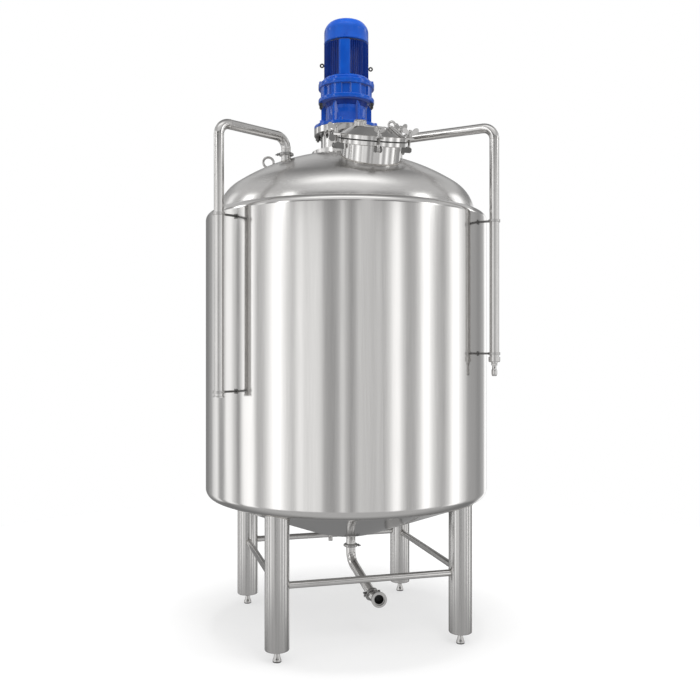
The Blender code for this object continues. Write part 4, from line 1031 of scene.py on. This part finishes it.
def build_nozzle(side, degrees, distance):
    joint = dome_height(distance) + NOZZLE_STAND
    place = around_tank(degrees) @ move(distance, 0, 0)
    bore = PIPE_RADIUS - 0.003
    low = joint - 0.075
    outline = [(bore, low), (PIPE_RADIUS, low), (PIPE_RADIUS, joint - FERRULE_HEIGHT - 0.003),
               (FERRULE_RADIUS, joint - FERRULE_HEIGHT), (FERRULE_RADIUS, joint), (bore, joint)]
    skin(f"{side}_nozzle", "tube", turned(outline, PIPE_SIDES), place, soft=0.0006)
    clamp_place = place @ move(0, 0, joint) @ around_tank(-36)
    build_clamp(f"{side}_clamp", clamp_place, FERRULE_RADIUS - 0.003, CLAMP_RADIUS)
    foot = [place @ point for point in level_ring(PIPE_RADIUS + 0.0008, 120, 0)]
    route = [Vector((point.x, point.y, dome_height(point.length) + 0.0008)) for point in foot]
    bead(f"{side}_nozzle_weld", route, 0.0028)
    return joint + GAP


def build_pipe(side, pipe, end_z, end_steps, bore):
    degrees, distance, reach, run_z = pipe
    start = build_nozzle(side, degrees, distance)
    corners = [(distance, 0, start + FERRULE_HEIGHT), (distance, 0, run_z), (reach, 0, run_z), (reach, 0, end_z)]
    route = rounded_route(corners, PIPE_BEND, 24)
    radii = [FERRULE_RADIUS] * 2 + [PIPE_RADIUS] * len(route) + [radius for _, radius in end_steps]
    route = [Vector((distance, 0, start)), route[0]] + route
    route += [Vector((reach, 0, height)) for height, _ in end_steps]
    tube = shape(f"{side}_pipe_skin", swept(route, radii, PIPE_SIDES, Vector((0, 1, 0))), around_tank(degrees))
    radius, low, high = bore
    cut(tube, shape("pipe_bore", rod(radius, low, high, SMALL_SIDES), around_tank(degrees) @ move(reach, 0, 0)))
    finished(tube, "tube", stands_for=[f"{side}_pipe"])
    welds = [(distance, run_z - PIPE_BEND, True), (distance + PIPE_BEND, run_z, False),
             (reach - PIPE_BEND, run_z, False), (reach, run_z - PIPE_BEND, True)]
    for number, (r, z, flat) in enumerate(welds):
        points = [Vector((r + u, v, z) if flat else (r, v, z + u)) for u, v in circle(PIPE_RADIUS - 0.0003, 72)]
        points = [around_tank(degrees) @ point for point in points]
        bead(f"{side}_pipe_weld_{number}", points, 0.001)


def build_bracket(name, pipe, height):
    degrees, _, reach, _ = pipe
    outer = PIPE_RADIUS + 0.0061
    place = around_tank(degrees) @ move(reach, 0, height)
    half = BRACKET_HALF
    band = turned(oblong(PIPE_RADIUS - 0.001, outer, half), PIPE_SIDES)
    piece(f"{name}_bracket_band", "fitting", band, place, soft=0.001)
    wall = CLADDING_RADIUS - reach
    stay = prism(oblong(wall - 0.004, -0.026, 0.006), -half + 0.002, half - 0.002)
    foot = prism(oblong(wall - 0.003, wall + 0.0035, 0.014), -half - 0.006, half + 0.006)
    skin(f"{name}_bracket", "cast", together((stay, place), (foot, place)), soft=0.0012)
    bolts = []
    for sign in (-1, 1):
        across = place @ move(-0.0005, sign * (outer - 0.002), 0) @ Matrix.Rotation(-sign * pi / 2, 4, "X")
        bolts.append((hexagon(0.0095, 0, 0.0055), across))
    piece(f"{name}_bracket_bolts", "fitting", together(*bolts), soft=0.0006)


def build_side_pipes():
    end = LEFT_PIPE_END_Z
    ferrule = end + FERRULE_HEIGHT
    steps = [(ferrule, FERRULE_RADIUS), (end, FERRULE_RADIUS)]
    steps = [(ferrule + 0.002, PIPE_RADIUS)] + steps
    build_pipe("left", LEFT_PIPE, ferrule + 0.002, steps, (PIPE_RADIUS - 0.003, end - 0.02, end + 0.07))
    low, high = RIGHT_COLLAR_Z
    tip = RIGHT_PIPE_END_Z
    steps = [(high, FERRULE_RADIUS), (low + 0.004, FERRULE_RADIUS), (low, FERRULE_RADIUS - 0.003), (low, 0.0195),
             (low - 0.008, 0.019), (low - 0.012, 0.013), (tip + 0.044, 0.0125), (tip + 0.039, 0.0155),
             (tip + 0.032, RIGHT_TIP_RADIUS), (tip + 0.012, RIGHT_TIP_RADIUS), (tip + 0.004, 0.015), (tip, 0.012)]
    build_pipe("right", RIGHT_PIPE, high, steps, (0.0085, tip - 0.02, tip + 0.05))
    place = around_tank(RIGHT_PIPE[0]) @ move(RIGHT_PIPE[2], 0, 0)
    piece("right_pipe_tip_nut", "fitting", hexagon(0.033, low - 0.02, low - 0.009), place, soft=0.0012)
    for name, (pipe, height) in BRACKETS.items():
        build_bracket(name, pipe, height)


def build_lugs():
    for place, degrees in LUG_PLACES.items():
        stand = around_tank(degrees) @ move(LUG_DISTANCE, 0, LUG_CENTRE_Z)
        built = turned(arc(LUG_RING, 0, LUG_ROD, 0, 2 * pi * 15 / 16, 15), 72)
        built.transform(upright(stand))
        slope = atan2(dome_height(LUG_DISTANCE + 0.01) - dome_height(LUG_DISTANCE - 0.01), 0.02)
        inward = around_tank(degrees) @ Vector((sin(slope), 0, -cos(slope)))
        on_dome = around_tank(degrees) @ Vector((LUG_DISTANCE, 0, dome_height(LUG_DISTANCE)))
        bmesh.ops.bisect_plane(built, geom=built.verts[:] + built.edges[:] + built.faces[:],
                               plane_co=on_dome + 0.003 * inward, plane_no=inward, clear_outer=True)
        bmesh.ops.holes_fill(built, edges=[edge for edge in built.edges if edge.is_boundary])
        skin(f"lifting_lug_{place}", "fitting", built)


# ---------------------------------------------------------------- outlet

def build_outlet():
    x, y = OUTLET_PLACE
    joint = OUTLET_JOINT_Z
    ferrule = joint + FERRULE_HEIGHT
    outline = [(OUTLET_BORE, 0.655), (OUTLET_BORE, joint), (OUTLET_FERRULE, joint), (OUTLET_FERRULE, ferrule),
               (OUTLET_RADIUS, ferrule + 0.003), (OUTLET_RADIUS, 0.655)]
    skin("outlet_nozzle", "tube", turned(outline, PIPE_SIDES), outlet_matrix(0), soft=0.0006)
    bead("outlet_weld", leg_ring(x, y, OUTLET_RADIUS + 0.001, 120), 0.0028)
    build_clamp("outlet_clamp", outlet_matrix(joint) @ around_tank(72), OUTLET_FERRULE - 0.003, OUTLET_CLAMP_RADIUS)
    elbow_end = Vector(OUTLET_ELBOW_END)
    corner = Vector((x, y, OUTLET_CORNER_Z))
    heading = (elbow_end - corner).normalized()
    top = joint - GAP
    corners = [(x, y, top - FERRULE_HEIGHT), corner, elbow_end - heading * FERRULE_HEIGHT]
    straight = rounded_route(corners, OUTLET_BEND, 20)
    route = [Vector((x, y, top)), straight[0]] + straight + [straight[-1], elbow_end]
    radii = [OUTLET_FERRULE] * 2 + [OUTLET_RADIUS] * len(straight) + [OUTLET_FERRULE] * 2
    beside = heading.cross(Vector((0, 0, 1))).normalized()
    skin("outlet_pipe", "tube", swept(route, radii, PIPE_SIDES, beside), soft=0.0006)
    clamp_place = move(*elbow_end) @ facing(heading, beside)
    build_clamp("outlet_end_clamp", clamp_place, OUTLET_FERRULE - 0.003, OUTLET_CLAMP_RADIUS)
    face = Vector(OUTLET_FACE)
    out = Vector((*on_circle(1, OUTLET_FACE_DEG), 0))
    start = elbow_end + heading * GAP
    first = start + heading * FERRULE_HEIGHT
    last = face - out * 0.014
    pull = (last - first).length / 2.5
    guides = (first, first + heading * pull, last - out * pull, last)
    bend = []
    for step in range(21):
        t = step / 20
        weights = ((1 - t) ** 3, 3 * t * (1 - t) ** 2, 3 * t * t * (1 - t), t ** 3)
        bend.append(sum((weight * guide for weight, guide in zip(weights, guides)), Vector()))
    route = [start, first] + bend + [last, face]
    radii = [OUTLET_FERRULE] * 2 + [OUTLET_BODY_RADIUS] * len(bend) + [OUTLET_RING_RADIUS] * 2
    end = shape("outlet_end_skin", swept(route, radii, PIPE_SIDES, beside))
    place = move(*face) @ facing(out, Vector((0, 0, 1)))
    mouth = OUTLET_MOUTH_RADIUS
    bore = [(0, -0.055), (mouth - 0.006, -0.055), (mouth - 0.006, -0.01), (mouth, -0.01), (mouth, 0.02), (0, 0.02)]
    cut(end, shape("outlet_bore", turned(bore, PIPE_SIDES), place))
    finished(end, "fitting", stands_for=["outlet_end"])
    # A black rubber cup fills the bottom and sides of the short bore: painted shade, so the mouth looks deep and
    # dark.
    shade_cup = [(0, -0.0545), (mouth - 0.0062, -0.0545), (mouth - 0.0062, -0.012), (mouth - 0.0075, -0.012),
              (mouth - 0.0075, -0.053), (0, -0.053)]
    piece("outlet_bore_painted_shade", "rubber", turned(shade_cup, PIPE_SIDES), place)
    screw = turned([(0, 0), (0.0075, 0), (0.0075, 0.012), (0.005, 0.014), (0, 0.014)], 28)
    screw_place = place @ move(OUTLET_RING_RADIUS - 0.003, 0, -0.01) @ LAID_OUT
    piece("outlet_ring_screw", "cast", screw, screw_place, soft=0.0006)


def build_stub():
    x, y = STUB_PLACE
    radius = STUB_RADIUS
    outline = [(0, 0.012), (radius - 0.004, 0.012), (radius - 0.004, 0.001), (radius - 0.001, 0), (radius, 0.001)]
    outline = raised(STUB_BOTTOM_Z, outline) + [(radius, 0.6), (0, 0.6)]
    skin("drain_stub", "tube", turned(outline, SMALL_SIDES), move(x, y, 0))
    bead("stub_weld", leg_ring(x, y, radius + 0.0008, 72), 0.0018)


# ---------------------------------------------------------------- studio

def add_camera():
    data = bpy.data.cameras.new("camera")
    data.lens = 42.6
    data.sensor_width = 36
    data.shift_x = 3.7 / 700
    data.shift_y = -4.4 / 700
    camera = bpy.data.objects.new("camera", data)
    scene.collection.objects.link(camera)
    x, y = -sin(CAMERA_TURN), -cos(CAMERA_TURN)
    camera.location = (CAMERA_DISTANCE * x, CAMERA_DISTANCE * y, CAMERA_Z)
    camera.rotation_euler = (pi / 2, 0, -CAMERA_TURN)
    scene.camera = camera


def ramp(tree, value, stops, shift=0):
    """Grey levels over half a turn, from (degrees, level) stops."""
    made = tree.nodes.new("ShaderNodeValToRGB")
    made.color_ramp.interpolation = "EASE"
    points = made.color_ramp.elements
    points.remove(points[-1])
    for number, (degrees, level) in enumerate(stops):
        place = (degrees + shift) / 180
        point = points.new(place) if number else points[0]
        point.position = place
        point.color = (level / STUDIO_PEAK,) * 3 + (1,)
    tree.links.new(value, made.inputs["Fac"])
    return made.outputs["Color"]


def add_world():
    """A white studio with tall soft boxes round the tank and one overhead, darker gaps between."""
    world = bpy.data.worlds.new("studio")
    scene.world = world
    world.use_nodes = True
    tree = world.node_tree
    tree.nodes.clear()
    coords = node(tree, "TexCoord", "Generated", {})

    def along(*direction):
        return node(tree, "VectorMath", "Value", {0: coords, 1: direction}, operation="DOT_PRODUCT")

    def calculate(operation, first, second=0):
        return node(tree, "Math", "Value", {0: first, 1: second}, operation=operation)

    def blend(share, first, second):
        return node(tree, "Mix", "Result", {"Factor": share, "A": first, "B": second}, data_type="RGBA")

    def around_studio(left_stops, right_stops):
        """Grey levels round the tank: two ramps, for the turns to the camera's left and right."""
        twice = calculate("MULTIPLY", turn, 2)
        on_left = ramp(tree, twice, left_stops, 180)
        on_right = ramp(tree, calculate("SUBTRACT", twice, 1), right_stops)
        return blend(calculate("GREATER_THAN", turn, 0.5), on_left, on_right)

    def region(value, first, last, below_it, above_it):
        """The first colour below a height, the second above, with a soft change between."""
        sockets = {"Value": value, "From Min": first, "From Max": last}
        return blend(node(tree, "MapRange", "Result", sockets, interpolation_type="SMOOTHSTEP"), below_it, above_it)

    right = along(cos(CAMERA_TURN), -sin(CAMERA_TURN), 0)
    toward = along(-sin(CAMERA_TURN), -cos(CAMERA_TURN), 0)
    up = along(0, 0, 1)
    turn = calculate("ADD", calculate("DIVIDE", calculate("ARCTAN2", right, toward), 2 * pi), 0.5)
    left = [(-180, 0.2), (-152, 0.26), (-140, 0.42), (-131, 1), (-126, 1.2), (-120, 0.45), (-115, 0.48), (-109, 1.35),
            (-104, 1.35), (-99, 0.85), (-94, 0.36), (-87, 1.5), (-79, 1.6), (-73, 0.62), (-68, 0.72), (-63, 1.15),
            (-59, 1.6), (-54, 1.9), (-50, 1.35), (-46, 0.98), (-41, 0.74), (-38, 1.2), (-35, 1.3), (-32, 1.02),
            (-23, 1.1), (-20, 1.02), (-16, 0.52), (-10, 0.44), (-6, 0.58), (-3, 1.1), (0, 0.66)]
    beside = [(0, 0.66), (4, 0.42), (7, 0.6), (10, 0.92), (13, 0.78), (17, 0.8), (21, 0.72), (25, 0.84), (29, 0.64),
              (33, 0.9), (37, 1.45), (41, 1.55), (44, 0.95), (48, 0.56), (54, 0.6), (58, 0.9), (62, 1.6), (66, 1.8),
              (70, 1.2), (75, 0.74), (82, 0.56), (87, 0.9), (92, 1.6), (97, 1.9), (102, 1.25), (107, 0.9), (113, 0.5),
              (122, 0.46), (132, 0.36), (145, 0.55), (151, 1.3), (180, 0.2)]
    low = around_studio(left, beside)
    tall_left = [(-180, 0.25), (-135, 0.45), (-130, 1.6), (-125, 1.6), (-120, 0.45), (-104, 0.35), (-100, 3.6),
                 (-93, 3.6), (-89, 0.45), (-77, 0.4), (-74, 1.3), (-69, 1.2), (-66, 0.35), (-57, 0.35), (-54, 4.2),
                 (-49, 4.2), (-46, 0.35), (-36, 0.22), (-12, 0.18), (-6, 0.3), (0, 0.3)]
    tall_right = [(0, 0.3), (10, 0.25), (14, 0.75), (18, 0.75), (24, 0.22), (40, 0.25), (58, 0.4), (63, 1.4),
                  (68, 3.4), (74, 3.4), (79, 0.9), (88, 0.45), (108, 0.5), (114, 2.2), (124, 2.2), (130, 0.4),
                  (150, 0.28), (180, 0.25)]
    tall = around_studio(tall_left, tall_right)
    arch = calculate("DIVIDE", calculate("ARCTAN2", up, calculate("MULTIPLY", toward, -1)), pi)
    stops = [(0, 0.66), (34, 0.66), (43, 0.58), (52, 0.3), (66, 0.27), (82, 0.36), (96, 0.6), (106, 1.2), (112, 1.7),
             (119, 1.7), (125, 1.02), (133, 0.92), (150, 0.88), (180, 0.8)]
    high = ramp(tree, arch, stops)
    sockets = {"Value": toward, "From Min": -0.5, "From Max": 0.2}
    sockets |= {"To Min": 0.24 / STUDIO_PEAK, "To Max": 0.58 / STUDIO_PEAK}
    ground = node(tree, "MapRange", "Result", sockets)
    high = region(calculate("ABSOLUTE", right), 0.25, 0.7, high, (0.66 / STUDIO_PEAK,) * 3 + (1,))
    whole = region(up, -0.46, -0.32, ground, low)
    whole = region(up, 0.215, 0.265, whole, tall)
    whole = region(up, 0.41, 0.47, whole, high)
    studio = node(tree, "Background", "Background", {"Color": whole, "Strength": STUDIO_PEAK})
    plain = node(tree, "Background", "Background", {"Color": (1, 1, 1, 1), "Strength": 1})
    seen = node(tree, "LightPath", "Is Camera Ray", {})
    both = node(tree, "MixShader", "Shader", {0: seen, 1: studio, 2: plain})
    tree.links.new(both, tree.nodes.new("ShaderNodeOutputWorld").inputs["Surface"])


def add_light(name, right, toward, up, size, power):
    """A soft box that looks at the tank, placed by metres to the camera's right, toward it and up."""
    data = bpy.data.lights.new(name, "AREA")
    data.shape = "RECTANGLE"
    data.size, data.size_y = size
    data.energy = power
    light = bpy.data.objects.new(name, data)
    scene.collection.objects.link(light)
    c, s = cos(CAMERA_TURN), sin(CAMERA_TURN)
    light.location = (right * c - toward * s, -right * s - toward * c, up)
    aim = Vector((0, 0, 2)) - light.location
    light.rotation_euler = aim.to_track_quat("-Z", "Y").to_euler()
    light.visible_glossy = False


def add_floor():
    built = turned([(0, -0.004), (4.4, -0.004), (4.4, 0), (0, 0)], 96)
    floor = shape("studio_floor", built, move(0, 0, -0.0005))
    made = bpy.data.materials.new("studio_floor_finish")
    made.use_nodes = True
    tree = made.node_tree
    tree.nodes.clear()
    glow = node(tree, "Emission", "Emission", {"Strength": 0.6})
    matt = node(tree, "BsdfDiffuse", "BSDF", {"Color": (0.4, 0.4, 0.4, 1)})
    both = node(tree, "AddShader", "Shader", {0: glow, 1: matt})
    tree.links.new(both, tree.nodes.new("ShaderNodeOutputMaterial").inputs["Surface"])
    floor.data.materials.append(made)
    floor.visible_glossy = False


add_camera()
add_world()
add_light("front_box", 1.6, 4.2, 4.6, (1.6, 1.6), 60)
add_light("overhead_box", 0, 0.3, 12, (3, 3), 830)
add_floor()
scene.view_settings.view_transform = "Standard"

build_shell()
build_heads()
for leg_place, leg_degrees in LEG_PLACES.items():
    build_leg(leg_place, leg_degrees)
for brace_place, (first_leg, second_leg, brace_height) in BRACES.items():
    build_brace(f"brace_{brace_place}", first_leg, second_leg, brace_height)
build_drive_neck()
build_gearbox()
build_gearbox_ring()
build_motor()
build_cowl()
build_terminal_box()
build_manway_neck()
build_manway_lid()
build_sight_cap()
build_lid_handle()
for bolt_place, bolt_degrees in BOLT_PLACES.items():
    build_wing_nut(bolt_place, bolt_degrees)
    build_swing_bolt(bolt_place, bolt_degrees)
build_side_pipes()
build_lugs()
build_outlet()
build_stub()
